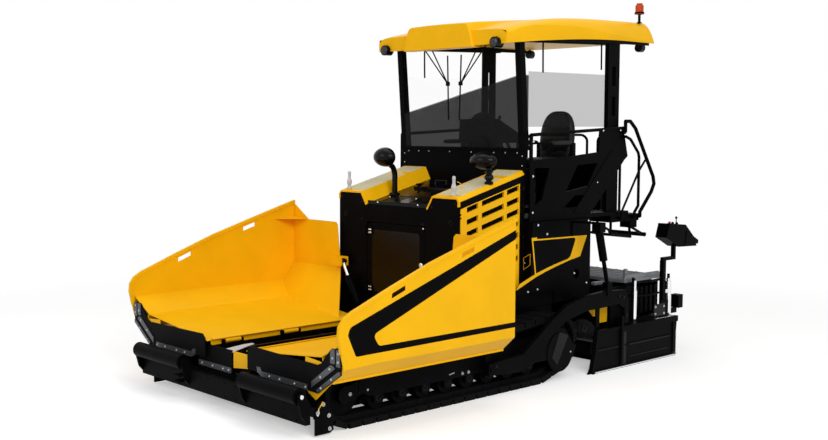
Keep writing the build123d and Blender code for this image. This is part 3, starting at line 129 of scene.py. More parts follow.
yellow = new_material("yellow_paint", (0.93, 0.49, 0.004), 0.36, vary=0.04, scale=3.0, bump=0.05,
                      grain=260.0, specular=0.08)
black = new_material("black_paint", (0.0016, 0.0017, 0.0021), 0.42, vary=0.3, scale=6.0, bump=0.12,
                     grain=420.0, dust=0.03, specular=0.02)
black_gloss = new_material("black_gloss", (0.0016, 0.0016, 0.002), 0.2, vary=0.2, scale=5.0, bump=0.05,
                           specular=0.12)
black_decal = new_material("black_decal", (0.002, 0.002, 0.0023), 0.4, vary=0.2, scale=5.0, bump=0.05,
                           specular=0.02)
black_plastic = new_material("black_plastic", (0.002, 0.002, 0.0025), 0.5, vary=0.2, scale=9.0, bump=0.4,
                             grain=700.0, specular=0.04)
dark_steel = new_material("dark_steel", (0.008, 0.008, 0.009), 0.5, metal=0.3, vary=0.35, scale=22.0,
                          bump=0.3, grain=300.0, dust=0.08, specular=0.2)
track_rubber = new_material("track_rubber", (0.003, 0.003, 0.0034), 0.72, vary=0.3, scale=18.0, bump=0.5,
                            grain=260.0, dust=0.04, specular=0.04)
rubber = new_material("apron_rubber", (0.0032, 0.0032, 0.0036), 0.6, vary=0.25, scale=12.0, bump=0.35,
                      grain=300.0, specular=0.04)
grey_steel = new_material("grey_steel", (0.085, 0.09, 0.098), 0.42, metal=0.55, vary=0.12, scale=30.0,
                          bump=0.15)
bright_steel = new_material("bright_steel", (0.74, 0.75, 0.76), 0.26, metal=0.85, vary=0.05, scale=40.0,
                            bump=0.05)
pale_paint = new_material("pale_paint", (0.50, 0.51, 0.53), 0.35, coat=0.2, vary=0.05, scale=30.0, bump=0.05)
chrome = new_material("rod_chrome", (0.80, 0.81, 0.82), 0.12, metal=1.0, vary=0.03, scale=8.0)
seat_vinyl = new_material("seat_vinyl", (0.0045, 0.0045, 0.005), 0.4, vary=0.2, scale=16.0, bump=0.4,
                          grain=520.0, sheen=0.03, specular=0.2)
orange = new_material("beacon_orange", (0.50, 0.055, 0.004), 0.2, vary=0.35, scale=60.0, specular=0.15)
lens = new_material("lamp_glass", (0.030, 0.031, 0.034), 0.12, vary=0.5, scale=70.0, specular=0.25)
red = new_material("red_button", (0.65, 0.02, 0.01), 0.3, coat=0.5)
screen = new_material("screen_glass", (0.012, 0.016, 0.022), 0.08, coat=0.6, vary=0.3, scale=30.0)
mesh_grey = new_material("walkway_grey", (0.20, 0.205, 0.215), 0.5, metal=0.3, vary=0.12, scale=20.0,
                         bump=0.2)
mat_tan = new_material("anti_slip_mat", (0.64, 0.58, 0.37), 0.8, vary=0.12, scale=40.0, bump=0.9, grain=900.0)
glass = new_material("tinted_glass", (0.010, 0.010, 0.011), 0.03, vary=0.04, scale=2.0, alpha=0.3,
                     specular=0.05)

PAINTED_SHADE_SLOPE = -0.2227          # the painted shade's edge on the windshield rises towards the machine's left
PAINTED_SHADE_EDGE = (2.905, 2.920)    # in metres, from the painted shade to clear
# how dark the painted shade below the windshield's slanting line makes the glass
PAINTED_SHADE_ALPHA = 0.80
CLEAR = 0.01
# how dark the painted shade makes the left pane; the right pane stays clear
LEFT_PANE_PAINTED_SHADE = 0.26


def paint_windshield_shade(mat):
    """Windshield clear above and darkened below a slanting line, left pane darkened, right pane clear:
    painted shade in the glass.
    """
    tree = mat.node_tree
    shader = tree.nodes["Principled BSDF"]
    coords = tree.nodes.new("ShaderNodeTexCoord")
    height = tree.nodes.new("ShaderNodeVectorMath")
    height.operation = "DOT_PRODUCT"
    height.inputs[1].default_value = (0.0, PAINTED_SHADE_SLOPE, 1.0)
    painted_shade = tree.nodes.new("ShaderNodeMapRange")
    painted_shade.inputs["From Min"].default_value = PAINTED_SHADE_EDGE[0]
    painted_shade.inputs["From Max"].default_value = PAINTED_SHADE_EDGE[1]
    painted_shade.inputs["To Min"].default_value = PAINTED_SHADE_ALPHA
    painted_shade.inputs["To Max"].default_value = CLEAR
    split = tree.nodes.new("ShaderNodeSeparateXYZ")
    front = tree.nodes.new("ShaderNodeMath")
    front.operation = "GREATER_THAN"
    front.inputs[1].default_value = SHIFT - 0.075
    alpha = tree.nodes.new("ShaderNodeMix")
    side = tree.nodes.new("ShaderNodeMapRange")
    side.inputs["From Min"].default_value = -0.1
    side.inputs["From Max"].default_value = 0.1
    side.inputs["To Min"].default_value = CLEAR
    side.inputs["To Max"].default_value = LEFT_PANE_PAINTED_SHADE
    tree.links.new(coords.outputs["Object"], height.inputs[0])
    tree.links.new(height.outputs["Value"], painted_shade.inputs["Value"])
    tree.links.new(coords.outputs["Object"], split.inputs["Vector"])
    tree.links.new(split.outputs["X"], front.inputs[0])
    tree.links.new(split.outputs["Y"], side.inputs["Value"])
    tree.links.new(side.outputs["Result"], alpha.inputs["A"])
    tree.links.new(front.outputs["Value"], alpha.inputs["Factor"])
    tree.links.new(painted_shade.outputs["Result"], alpha.inputs["B"])
    tree.links.new(alpha.outputs["Result"], shader.inputs["Alpha"])


paint_windshield_shade(glass)

NODE_MATERIALS = {
    yellow: ["hopper_wing_left", "hopper_wing_right", "hood_sides", "roof", "hopper_front_plate",
             "auger_guards"],
    rubber: ["wing_apron_left", "wing_apron_right", "centre_apron"],
    track_rubber: ["tracks"],
    dark_steel: ["conveyors", "auger_left", "auger_right"],
    black_gloss: ["mirrors", "hood_deck", "lamps"],
    black_plastic: ["wipers", "console"],
    grey_steel: ["apron_strips_left", "apron_strips_right"],
    chrome: ["wing_rod_left", "wing_rod_right"],
    glass: ["cab_glass"],
    mesh_grey: ["walkway"],
    orange: ["beacon"],
}


def dress_nodes():
    chosen = {node: mat for mat, nodes in NODE_MATERIALS.items() for node in nodes}
    for node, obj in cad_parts.items():
        obj.data.materials.clear()
        obj.data.materials.append(chosen.get(node, black))


dress_nodes()


# ---- Piece builder --------------------------------------------------------------------
CORNER_STEPS = 5


def bend_point(start, corner, end, t):
    """A point of the curve that rounds a corner."""
    return start * (1 - t) ** 2 + corner * 2 * t * (1 - t) + end * t ** 2


def rounded(outline, radius):
    """The same closed outline with its corners rounded, by one radius or by one for each corner."""
    points = []
    count = len(outline)
    for i, corner in enumerate(outline):
        r = radius[i] if isinstance(radius, (list, tuple)) else radius
        here = Vector(corner)
        before = Vector(outline[i - 1]) - here
        after = Vector(outline[(i + 1) % count]) - here
        if r <= 0 or before.length < 1e-6 or after.length < 1e-6:
            points.append(tuple(here))
            continue
        half = before.angle(after, math.pi) / 2
        reach = min(r / max(math.tan(half), 0.05), before.length * 0.45, after.length * 0.45)
        start = here + before.normalized() * reach
        end = here + after.normalized() * reach
        for step in range(CORNER_STEPS + 1):
            points.append(tuple(bend_point(start, here, end, step / CORNER_STEPS)))
    return points


def placed(pair, depth, along):
    """An outline's pair of coordinates, set at a depth along the named axis."""
    a, b = pair
    return {"y": (a, depth, b), "x": (depth, a, b), "z": (a, b, depth)}[along]


def circle_point(centre, side, other, turn, radius):
    return centre + (side * math.cos(turn) + other * math.sin(turn)) * radius


class Piece:
    """A mesh put together from parts, then given a material and the body it moves with."""

    def __init__(self):
        self.bm = bmesh.new()

    def solid(self, rings):
        """A skin over rings of points, with flat ends."""
        rows = [[self.bm.verts.new(p) for p in ring] for ring in rings]
        for near, far in zip(rows[:-1], rows[1:]):
            for i in range(len(near)):
                k = (i + 1) % len(near)
                self.bm.faces.new((near[i], near[k], far[k], far[i]))
        self.bm.faces.new(rows[0][::-1])
        self.bm.faces.new(rows[-1])

    def prism(self, outline, start, end, along="y", chamfer=0.0):
        """An outline pushed along y (x,z pairs), x (y,z) or z (x,y), its ends a little smaller."""
        way = 1 if end > start else -1
        steps = [(outline, start), (outline, end)]
        if chamfer:
            small = shrunk(outline, chamfer)
            steps = [(small, start), (outline, start + way * chamfer),
                     (outline, end - way * chamfer), (small, end)]
        self.solid([[placed(pair, depth, along) for pair in ring] for ring, depth in steps])

    def box(self, x0, x1, y0, y1, z0, z1, chamfer=1.5):
        self.prism([(x0, z0), (x1, z0), (x1, z1), (x0, z1)], y0, y1, "y", chamfer)

    def lathe(self, place, normal, profile, sides=24):
        """A turned shape: (radius, height) pairs along its normal."""
        normal = Vector(normal).normalized()
        side = normal.orthogonal().normalized()
        other = normal.cross(side)
        place = Vector(place)
        rings = []
        for radius, height in profile:
            centre = place + normal * height
            rings.append([circle_point(centre, side, other, 2 * math.pi * k / sides, max(radius, 0.05))
                          for k in range(sides)])
        self.solid(rings)

    def bolt(self, place, normal, radius=9.0):
        """A hexagon head with a chamfered top on its washer."""
        washer = [(radius * 1.45, -1.0), (radius * 1.45, radius * 0.18), (radius * 1.3, radius * 0.26)]
        head = [(radius, 0.0), (radius, radius * 0.85), (radius * 0.82, radius * 1.05)]
        self.lathe(place, normal, washer, 18)
        self.lathe(place, normal, head, 6)

    def tube(self, points, radius, sides=12, bend=5):
        """A round bar through the points, its corners rounded."""
        path = [Vector(points[0])]
        for before, here, after in zip(points[:-2], points[1:-1], points[2:]):
            before, here, after = Vector(before), Vector(here), Vector(after)
            reach = min((before - here).length, (after - here).length) * 0.42
            start = here + (before - here).normalized() * reach
            end = here + (after - here).normalized() * reach
            for step in range(bend + 1):
                path.append(bend_point(start, here, end, step / bend))
        path.append(Vector(points[-1]))
        rings = []
        side = (path[1] - path[0]).orthogonal().normalized()
        for i, here in enumerate(path):
            way = (path[min(i + 1, len(path) - 1)] - path[max(i - 1, 0)]).normalized()
            side = (side - way * side.dot(way)).normalized()
            other = way.cross(side)
            rings.append([circle_point(here, side, other, 2 * math.pi * k / sides, radius)
                          for k in range(sides)])
        self.solid(rings)

    def both_sides(self):
        """Repeats everything made so far on the machine's other side."""
        made = self.bm.verts[:] + self.bm.edges[:] + self.bm.faces[:]
        copy = bmesh.ops.duplicate(self.bm, geom=made)["geom"]
        for vert in (v for v in copy if isinstance(v, bmesh.types.BMVert)):
            vert.co.y = -vert.co.y

    def done(self, name, material, body="tractor", side=1, smooth=35.0):
        if side < 0:
            for vert in self.bm.verts:
                vert.co.y = -vert.co.y
        bmesh.ops.recalc_face_normals(self.bm, faces=self.bm.faces[:])
        self.bm.transform(TO_ROW)
        mesh = bpy.data.meshes.new(name)
        self.bm.to_mesh(mesh)
        self.bm.free()
        for face in mesh.polygons:
            face.use_smooth = True
        mesh.set_sharp_from_angle(angle=math.radians(smooth))
        mesh.materials.append(material)
        obj = bpy.data.objects.new(name, mesh)
        bpy.context.scene.collection.objects.link(obj)
        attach(obj, body)
        return obj


def shrunk(outline, inset):
    """An outline moved inwards by about the inset, for a chamfered edge."""
    area = sum(a[0] * b[1] - b[0] * a[1] for a, b in zip(outline, outline[1:] + outline[:1])) / 2
    turn = 1 if area > 0 else -1
    points = []
    for i, here in enumerate(outline):
        here = Vector(here)
        into = here - Vector(outline[i - 1])
        out = Vector(outline[(i + 1) % len(outline)]) - here
        if into.length < 1e-6 or out.length < 1e-6:
            points.append(tuple(here))
            continue
        into.normalize()
        out.normalize()
        normal = Vector((-into.y, into.x)) + Vector((-out.y, out.x))
        normal = normal.normalized() * turn if normal.length > 1e-6 else Vector((-into.y, into.x)) * turn
        points.append(tuple(here + normal * inset))
    return points


def bolts(name, places, normal, radius=9.0, material=None, body="tractor", both=True, side=1):
    piece = Piece()
    for place in places:
        piece.bolt(place, normal, radius)
    if both:
        piece.both_sides()
    return piece.done(name, material or bright_steel, body, side)


def hood_top(x):
    return 1893.0 + (958.0 - x) * HOOD_SLOPE


def deck_top(x):
    return 2000.0 - x * DECK_SLOPE


# ---- Painted stripes -------------------------------------------------------------------
STRIPE = [(1001, 1637), (3022, 969), (3043, 907), (2957, 724), (1001, 735), (1001, 782), (2704, 781),
          (2771, 881), (1001, 1554)]
STRIPE_CORNERS = [0, 60, 40, 30, 0, 0, 50, 60, 0]
for name, side in SIDES:
    stripe = Piece()
    stripe.prism(rounded(STRIPE, STRIPE_CORNERS), WING_OUTER - PAINT_BACK, WING_OUTER + PAINT_PROUD)
    stripe.done("wing_stripe_" + name, black_decal, "wing_" + name, side)

band = Piece()
band.prism([(946, hood_top(946) - 116), (946, hood_top(946) - 46), (64, hood_top(64) - 46),
            (64, hood_top(64) - 116)], HOOD_HALF - PAINT_BACK, HOOD_HALF + PAINT_PROUD)
band.prism([(2, 905), (64, 905), (64, hood_top(64) - 46), (2, hood_top(2) - 46)],
           HOOD_HALF - PAINT_BACK, HOOD_HALF + 1.6)
band.both_sides()
band.done("hood_band", black_decal)

PANEL = [(-8, 1446), (-92, 1446), (-96, 1428), (-926, 1418), (-813, 1198), (-640, 1170), (-426, 1125),
         (-250, 1083), (-88, 1038), (222, 926), (170, 987), (60, 1024), (-66, 1066)]
panel = Piece()
panel.prism(PANEL, BODY_HALF - PAINT_BACK, BODY_HALF + PAINT_PROUD)
panel.both_sides()
panel.done("body_band", yellow)

corner = Piece()
corner.prism([(6, 880), (6, 1004), (168, 950), (205, 926), (215, 880)], BODY_HALF - 12, BODY_HALF - 1.0)
corner.both_sides()
corner.done("body_corner", black)

INSET = [(-32, 1414), (-738, 1405), (-646, 1212), (-604, 1186), (-420, 1152), (-260, 1118), (-84, 1074)]
inset = Piece()
inset.prism(rounded(INSET, [6, 30, 30, 20, 0, 0, 8]), BODY_HALF + 1.0, BODY_HALF + 2.6)
inset.both_sides()
inset.done("body_panel", black_decal)

HATCH = [(904, 1232), (990, 1280), (990, 1168), (906, 1110)]
hatch = Piece()
for first in range(4):
    a = Vector(HATCH[first])
    b = Vector(HATCH[(first + 1) % 4])
    way = (b - a).normalized()
    across = Vector((-way.y, way.x)) * 2.5
    hatch.prism([tuple(a - across), tuple(b - across), tuple(b + across), tuple(a + across)], -0.5, 1.6, "x")
hatch.both_sides()
hatch.done("hatch_outline", yellow)

recess = Piece()
recess.prism(rounded([(-46, 880), (-46, 1020), (-255, 1030), (-255, 880)], 34), BODY_HALF, BODY_HALF + 1.2)
recess.prism(rounded([(-450, 932), (-450, 1044), (-604, 1046), (-604, 932)], 26), BODY_HALF, BODY_HALF + 1.2)
recess.lathe((-748, BODY_HALF, 1016), LEFT, [(62, 0), (62, 1.2), (52, 1.6), (48, -0.2)], 32)
recess.both_sides()
recess.done("body_covers", black_decal)

# ---- Hood ------------------------------------------------------------------------------
# a black sheet inside the hood behind the louvres: painted shade where the hood's inside is in shadow
louvre_shade_sheet = Piece()
louvre_shade_sheet.prism([(16, 906), (930, 906), (930, hood_top(930) - 100), (16, hood_top(16) - 100)],
             HOOD_HALF - 46, HOOD_HALF - 42)
louvre_shade_sheet.both_sides()
louvre_shade_sheet.done("louvre_painted_shade", black_plastic)

SLAT_THICK = 3
slats = Piece()
for column in ((851.0, 690.0), (635.0, 308.0), (263.0, 79.0)):
    for row in range(7):
        for lift in (-16, 4):
            corners = []
            for x in (column[0] - 4, column[1] + 4):
                z = 1849.0 + (520 - x) * HOOD_SLOPE - row * 120.0 + lift
                corners.append((x, z))
            (xa, za), (xb, zb) = corners
            slats.solid([[(xa, HOOD_HALF - 22, za + up), (xb, HOOD_HALF - 22, zb + up),
                          (xb, HOOD_HALF - 40, zb + 14 + up), (xa, HOOD_HALF - 40, za + 14 + up)]
                         for up in (0, SLAT_THICK)])
slats.both_sides()
slats.done("louvre_slats", black_plastic)

mats = Piece()
for x0, x1, inner in ((905, 300, 548), (205, 24, 540)):
    corners = [(x0, inner), (x0, 860), (x1, 860), (x1, inner)]
    ring = rounded(corners, 14)
    mats.solid([[(x, y, hood_top(x) + lift) for x, y in ring] for lift in (0.0, 2.2)])
mats.both_sides()
mats.done("rail_mats", mat_tan)

pins = Piece()
pins.lathe((915, 780, 1912), UP, [(30, 0), (30, 8), (21, 18), (20, 40), (27, 60), (27, 82), (18, 108),
                                  (15.5, 118), (15.5, 150), (17, 158), (17, 176), (12, 186), (2, 190)])
pins.both_sides()
pins.done("lifting_pin_sleeves", pale_paint)
chain = Piece()
chain.tube([(905, 812, 2046), (880, 838, 2030), (862, 846, 1975), (872, 828, 1930)], 3.2, 8)
chain.both_sides()
chain.done("pin_lanyards", yellow)

deck = Piece()
for x, y in ((709, 46), (708, -356), (600, 410), (600, -410), (90, 410), (90, -410), (880, 410), (880, -410)):
    deck.bolt((x, y, deck_top(x)), (0.233, 0, 0.972), 7)
for y in (300, -300):
    deck.bolt((938, y, 1788), FORWARD, 6)
deck.done("deck_bolts", bright_steel)

trim = Piece()
for y in (-300, -100, 100, 300):
    trim.box(140, 370, y - 4, y + 4, deck_top(140) - 22, deck_top(140))
trim.done("deck_hatch_ribs", black_plastic)

front = Piece()
for y in (783, -783):
    front.lathe((937.5, y, 1639), FORWARD, [(26, 19), (26, 22), (20, 23), (18, 19)])
for y, z in ((398, 1600), (-520, 1600), (520, 1780), (-520, 1780), (840, 1830), (-840, 1830),
             (840, 1200), (-840, 1200), (840, 900), (-840, 900)):
    front.bolt((958, y, z), FORWARD, 7)
front.done("firewall_bolts", black_gloss)

door = Piece()
door.prism(rounded([(-360, 820), (350, 820), (350, 1500), (-360, 1500)], 40), 955.6, 957.4, "x")
door.done("door_panel_rib", black_gloss, "door")
latch = Piece()
latch.lathe((956, 372, 1180), FORWARD, [(26, 0), (26, 5), (20, 8), (12, 8), (10, 5)])
latch.box(960, 968, 364, 380, 1120, 1186)
for z in (870.0, 1480.0):
    for y in (-398, -372):
        latch.bolt((970, y, z + 16), FORWARD, 6)
        latch.bolt((970, y, z - 16), FORWARD, 6)
latch.bolt((956, 398, 1555), FORWARD, 6)
latch.done("door_latch", bright_steel, "door")

# ---- Bolts on the body, platform and panels ----------------------------------------------
bolts("hood_front_bolts", [(938, HOOD_HALF, 1725), (937, HOOD_HALF, 1692), (930, HOOD_HALF, 1010)],
      LEFT, 6, black_gloss)
bolts("body_bolts", [(40, BODY_HALF, 892), (-112, BODY_HALF, 905), (-928, BODY_HALF, 901),
                     (-109, BODY_HALF, 1571), (-256, BODY_HALF, 1470), (-693, BODY_HALF, 1569),
                     (-715, BODY_HALF + 1, 1022), (-950, BODY_HALF, 1571)], LEFT, 8)
bolts("panel_bolts", [(-1144, 960, 1976), (-66, 960, 2074), (-66, 960, 2430), (-1240, 960, 2540),
                      (-1560, 960, 2540), (-66, 960, 1700)], LEFT, 8)
brace = Piece()
brace.prism([(-1397, 2325), (-733, 1660), (-1010, 1660), (-1104, 1710), (-1674, 2253)], 959, 966, chamfer=1.5)
brace.both_sides()
brace.done("panel_brace", black)
bolts("hatch_bolt", [(1.5, 918, 1180)], FORWARD, 5)
wall_bolts = []
for y in (-800, -640, -480, -160, 160, 480, 640, 800):
    wall_bolts.append((0, y, 2310))
for z in (2080, 2180, 2280):
    wall_bolts += [(0, 868, z), (0, -868, z)]
bolts("wall_bolts", wall_bolts, FORWARD, 5, pale_paint, both=False)

# ---- Hopper: apron bolts, strips and the ridge cover ---------------------------------------
for name, side in SIDES:
    places = [(677, 417), (824, 417), (1032, 417), (1181, 415), (1376, 533), (1494, 618), (1380, 440),
              (1514, 536), (1530, 714), (1600, 760), (1600, 690)]
    bolts("apron_bolts_" + name, [(APRON_FACE, y, z) for y, z in places], FORWARD, 7.5, pale_paint,
          "wing_" + name, both=False, side=side)
strip = Piece()
strip.prism(rounded([(-508, 322), (26, 322), (26, 374), (-508, 374)], 8), 3049.5, 3058, "x", 1.0)
strip.done("centre_apron_strip", grey_steel)
bolts("centre_apron_bolts", [(3058, y, 348) for y in (-446, -271, -97, -10)], FORWARD, 7.5, pale_paint,
      both=False)

RIDGE = [(3049, -112, 520), (3049, 44, 520), (2860, 30, 552), (2785, 20, 560), (2785, -20, 560),
         (2860, -52, 552)]
ridge = Piece()
ridge.solid([RIDGE, [(x, y, z + 6) for x, y, z in RIDGE]])
ridge.done("ridge_cover", pale_paint)

# a lip along each wing floor's inner edge covers the gap over the hinges
for name, side in SIDES:
    lip = Piece()
    lip.prism([(298, 586), (345, 594), (345, 600), (298, 592)], 1190, 3030, "x", 1.0)
    lip.done("hinge_lip_" + name, yellow, "wing_" + name, side)

# ---- Front: rollers, deflectors and tracks ---------------------------------------------------
for name, side in SIDES:
    caps = Piece()
    caps.lathe((3251, 1313, 375), LEFT, [(19, 0), (19, 4), (16, 6), (10, 6), (9, 4)], 28)
    caps.done("roller_cap_" + name, bright_steel, "push_roller_" + name, side)

front_bolts = [(2939, 1287, 166), (2930, 1287, 52), (3060, 1287, 205), (3000, 1287, 270)]
bolts("deflector_bolts", front_bolts, LEFT, 13, pale_paint)
bolts("beam_bolts", [(3205, y, z) for y in (140, 300, 700, 1000, 1180) for z in (150, 275)], FORWARD, 6,
      black_plastic, "push_beam")
lever = Piece()
lever.tube([(3010, 1292, 296), (3036, 1294, 262), (3060, 1294, 236)], 5, 10)
lever.both_sides()
lever.done("latch_lever", yellow)
hook = Piece()
hook.tube([(3058, 1294, 238), (3058, 1294, 196), (3066, 1294, 180), (3073, 1294, 196)], 5, 10)
hook.both_sides()
hook.done("latch_hook", bright_steel)

hubs = Piece()
for index in range(8):
    hubs.lathe((250 + 293 * index, 1201, 198), LEFT, [(44, 0), (44, 4), (30, 7), (22, 7), (20, 3)])
# a plate behind the rollers closes the view through the tracks
hubs.box(190, 2560, 968, 974, 96, 330, 0.5)
hubs.both_sides()
hubs.done("roller_hubs", dark_steel)
studs = Piece()
for place, size in (((2442, 1213, 294), 12), ((2640, 1213, 285), 12), ((1238, 1218, 262), 11),
                    ((1155, 1218, 262), 11)):
    studs.bolt(place, LEFT, size)
studs.tube([(1421, 1222, 276), (1355, 1222, 286)], 6, 10)
studs.both_sides()
studs.done("roller_bolts", pale_paint)

bolts("guard_bolts", [(54, 1280, 456), (50, 1280, 252), (497, 1280, 300), (-300, 1288, 276)], LEFT, 7,
      pale_paint)
flap = Piece()
flap.prism(rounded([(-262, 452), (-125, 500), (0, 248), (-88, 165)], 16), 1287.5, 1290.5, chamfer=0.8)
flap.both_sides()
flap.done("guard_flap", black_gloss)

# ---- Roof, lamps and glass ---------------------------------------------------------------------
# heights along the roof, front to rear: underside, eyebrow crease, edge of the top, raised middle
ROOF_FOOT = [(362, 3412), (19, 3443), (-252, 3467), (-822, 3506), (-1430, 3528), (-2200, 3526)]
ROOF_CREASE = [(362, 3492), (311, 3517), (129, 3578), (-194, 3623), (-529, 3637), (-967, 3631),
               (-1428, 3592), (-2200, 3535)]
ROOF_EDGE = [(362, 3556), (250, 3584), (-138, 3663), (-527, 3716), (-1114, 3748), (-2200, 3766)]
ROOF_CROWN = [(362, 3640), (250, 3662), (-16, 3686), (-491, 3724), (-1200, 3764), (-2200, 3776)]
ROOF_HALF = 937.0
ROOF_FRONT = 338.0
ROOF_REAR = -2150.0
ROOF_TOP = 3781


def curve(table, x):
    """A smooth height between the table's places."""
    last = len(table) - 2
    i = max(k for k in range(last + 1) if x <= table[k][0] or k == 0)
    x1, z1 = table[i]
    x2, z2 = table[i + 1]
    x0, z0 = table[max(i - 1, 0)]
    x3, z3 = table[min(i + 2, last + 1)]
    slope_1 = (z2 - z0) / (x2 - x0)
    slope_2 = (z3 - z1) / (x3 - x1)
    t = (x - x1) / (x2 - x1)
    run = x2 - x1
    return ((2 * t ** 3 - 3 * t ** 2 + 1) * z1 + (t ** 3 - 2 * t ** 2 + t) * run * slope_1
            + (3 * t ** 2 - 2 * t ** 3) * z2 + (t ** 3 - t ** 2) * run * slope_2)


def roof_half(x):
    """Half of the roof's outside at x, from the skirt's foot up to the middle."""
    foot = curve(ROOF_FOOT, x)
    crease = curve(ROOF_CREASE, x)
    edge = curve(ROOF_EDGE, x)
    crown = curve(ROOF_CROWN, x)
    half = [(ROOF_HALF - 4, foot), (ROOF_HALF, (foot + crease) / 2), (ROOF_HALF, crease)]
    start = math.radians(22)
    for step in range(11):
        turn = start + (math.pi / 2 - start) * step / 10
        inwards = 150 * (math.cos(start) - math.cos(turn)) / math.cos(start)
        rise = (math.sin(turn) - math.sin(start)) / (1 - math.sin(start))
        half.append((ROOF_HALF - 3 - inwards, crease + 3 + (edge - crease - 3) * rise))
    half += [(470, edge + 5), (454, edge + 9), (444, edge + (crown - edge) * 0.35),
             (432, edge + (crown - edge) * 0.75), (418, crown - 3), (400, crown), (150, crown + 4),
             (20, crown + 5)]
    return half


canopy = Piece()
rings = []
for step in range(45):
    x = ROOF_FRONT + (ROOF_REAR - ROOF_FRONT) * step / 44
    half = roof_half(x)
    foot = half[0][1]
    inside = [(-ROOF_HALF + 16, foot), (-ROOF_HALF + 20, 3538), (ROOF_HALF - 20, 3538),
              (ROOF_HALF - 16, foot)]
    section = half + [(-y, z) for y, z in half[::-1]] + inside
    lean = 0.2 * max(0, (step - 41) / 3)
    rings.append([(x - (ROOF_TOP - z) * lean, y, z) for y, z in section])
canopy.solid(rings)
# the front plate hangs down as far as the skirts
canopy.prism(rounded([(934, 3412), (934, 3545), (-934, 3545), (-934, 3412)], [10, 0, 0, 10]),
             312, 337, "x", 2.0)
# the middle of the front stands forward of the two lobes
BROW = [(506, 3396), (474, 3520), (452, 3596), (428, 3630), (392, 3645), (150, 3652)]
canopy.prism(BROW + [(-y, z) for y, z in BROW[::-1]], 240, 374, "x", 7.0)
canopy = canopy.done("canopy_skin", yellow, smooth=17.0)
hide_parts("roof")

roof = Piece()
roof.box(-2116, 206, -902, 902, 3540, 3545)
for y in (902, -902):
    roof.prism([(200, 3452), (200, 3541), (-2114, 3541), (-2150, 3538), (-2150, 3500), (-1200, 3490),
                (-491, 3472), (-16, 3452)], y, y - math.copysign(4, y))
roof.done("roof_lining", black_plastic)

glow = Piece()
rims = Piece()
for y in (-806, 806):
    glow.lathe((385.5, y, 3425), FORWARD, [(46, 0), (46, 1.0), (36, 4.5), (20, 7), (4, 8)], 36)
    rims.lathe((380, y, 3425), FORWARD, [(56.6, -12), (56.6, 6), (53, 8), (47, 8), (46, 5)], 36)
    glow.lathe((-2145, y, 3480), REARWARD, [(41, -0.5), (41, 1.0), (30, 4), (4, 6)], 36)
    rims.lathe((-2140, y, 3480), REARWARD, [(50.6, -10), (50.6, 6), (47, 8), (42, 8), (41, 5)], 36)
glow.done("lamp_glass", lens)
rims.done("lamp_rims", black_gloss)

rods = Piece()
rods.tube([(-309, 868, 3538), (-311, 868, 3300), (-314, 868, 3141)], 9, 10)
rods.tube([(-1306, 868, 3538), (-1308, 868, 3300), (-1310, 868, 3200)], 9, 10)
rods.both_sides()
rods.done("window_rods", black_plastic)

# ---- Mirrors ------------------------------------------------------------------------------------
MIRRORS = (((738, -391, 2258), 148, 104, 120), ((478, 783, 2243), 165, 89, 130))
OVAL_SIDES = 48


def oval(mirror, size, forward):
    """An oval of the mirror's shape, at a share of its size and a distance forward of its face."""
    (x, y, z), half_y, half_z = mirror[:3]
    return [(x + forward, y + half_y * size * math.cos(2 * math.pi * k / OVAL_SIDES),
             z + half_z * size * math.sin(2 * math.pi * k / OVAL_SIDES)) for k in range(OVAL_SIDES)]


shell = Piece()
mirror_glass = Piece()
for mirror in MIRRORS:
    depth = mirror[3]
    rings = [oval(mirror, size, forward) for size, forward in ((0.90, 1.5), (0.92, -5), (0.98, -5), (1.0, 2))]
    for step in range(1, 13):
        turn = math.pi / 2 * step / 12.2
        rings.append(oval(mirror, math.cos(turn), depth * math.sin(turn)))
    shell.solid(rings)
    mirror_glass.solid([oval(mirror, 0.905, -3), oval(mirror, 0.905, 2)])
shell.tube([(605, -391, deck_top(605) - 4), (605, -391, 2075), (632, -391, 2150), (700, -391, 2190),
            (752, -391, 2215)], 30, 16, 8)
shell.lathe((605, -391, deck_top(605) - 6), UP, [(56, 0), (56, 20), (44, 26), (31, 30)], 28)
shell.lathe((480, 847, 2006), UP, [(44, 0), (44, 22), (30, 30), (30, 42), (46, 52), (47, 76), (40, 92),
                                  (30, 100), (30, 112), (42, 120), (42, 134), (28, 142), (28, 210)], 28)
shell = shell.done("mirror_shells", black_gloss)
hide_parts("mirrors")
mirror_glass.done("mirror_glass", chrome)

# the beacon's stem and socket
socket = Piece()
socket.lathe((-2040, 840, 3752), UP, [(30, 0), (30, 8), (15, 16), (15, 94), (40, 100), (53.5, 104),
                                      (53.5, 124), (47, 126)], 32)
socket.done("beacon_socket", black_plastic)

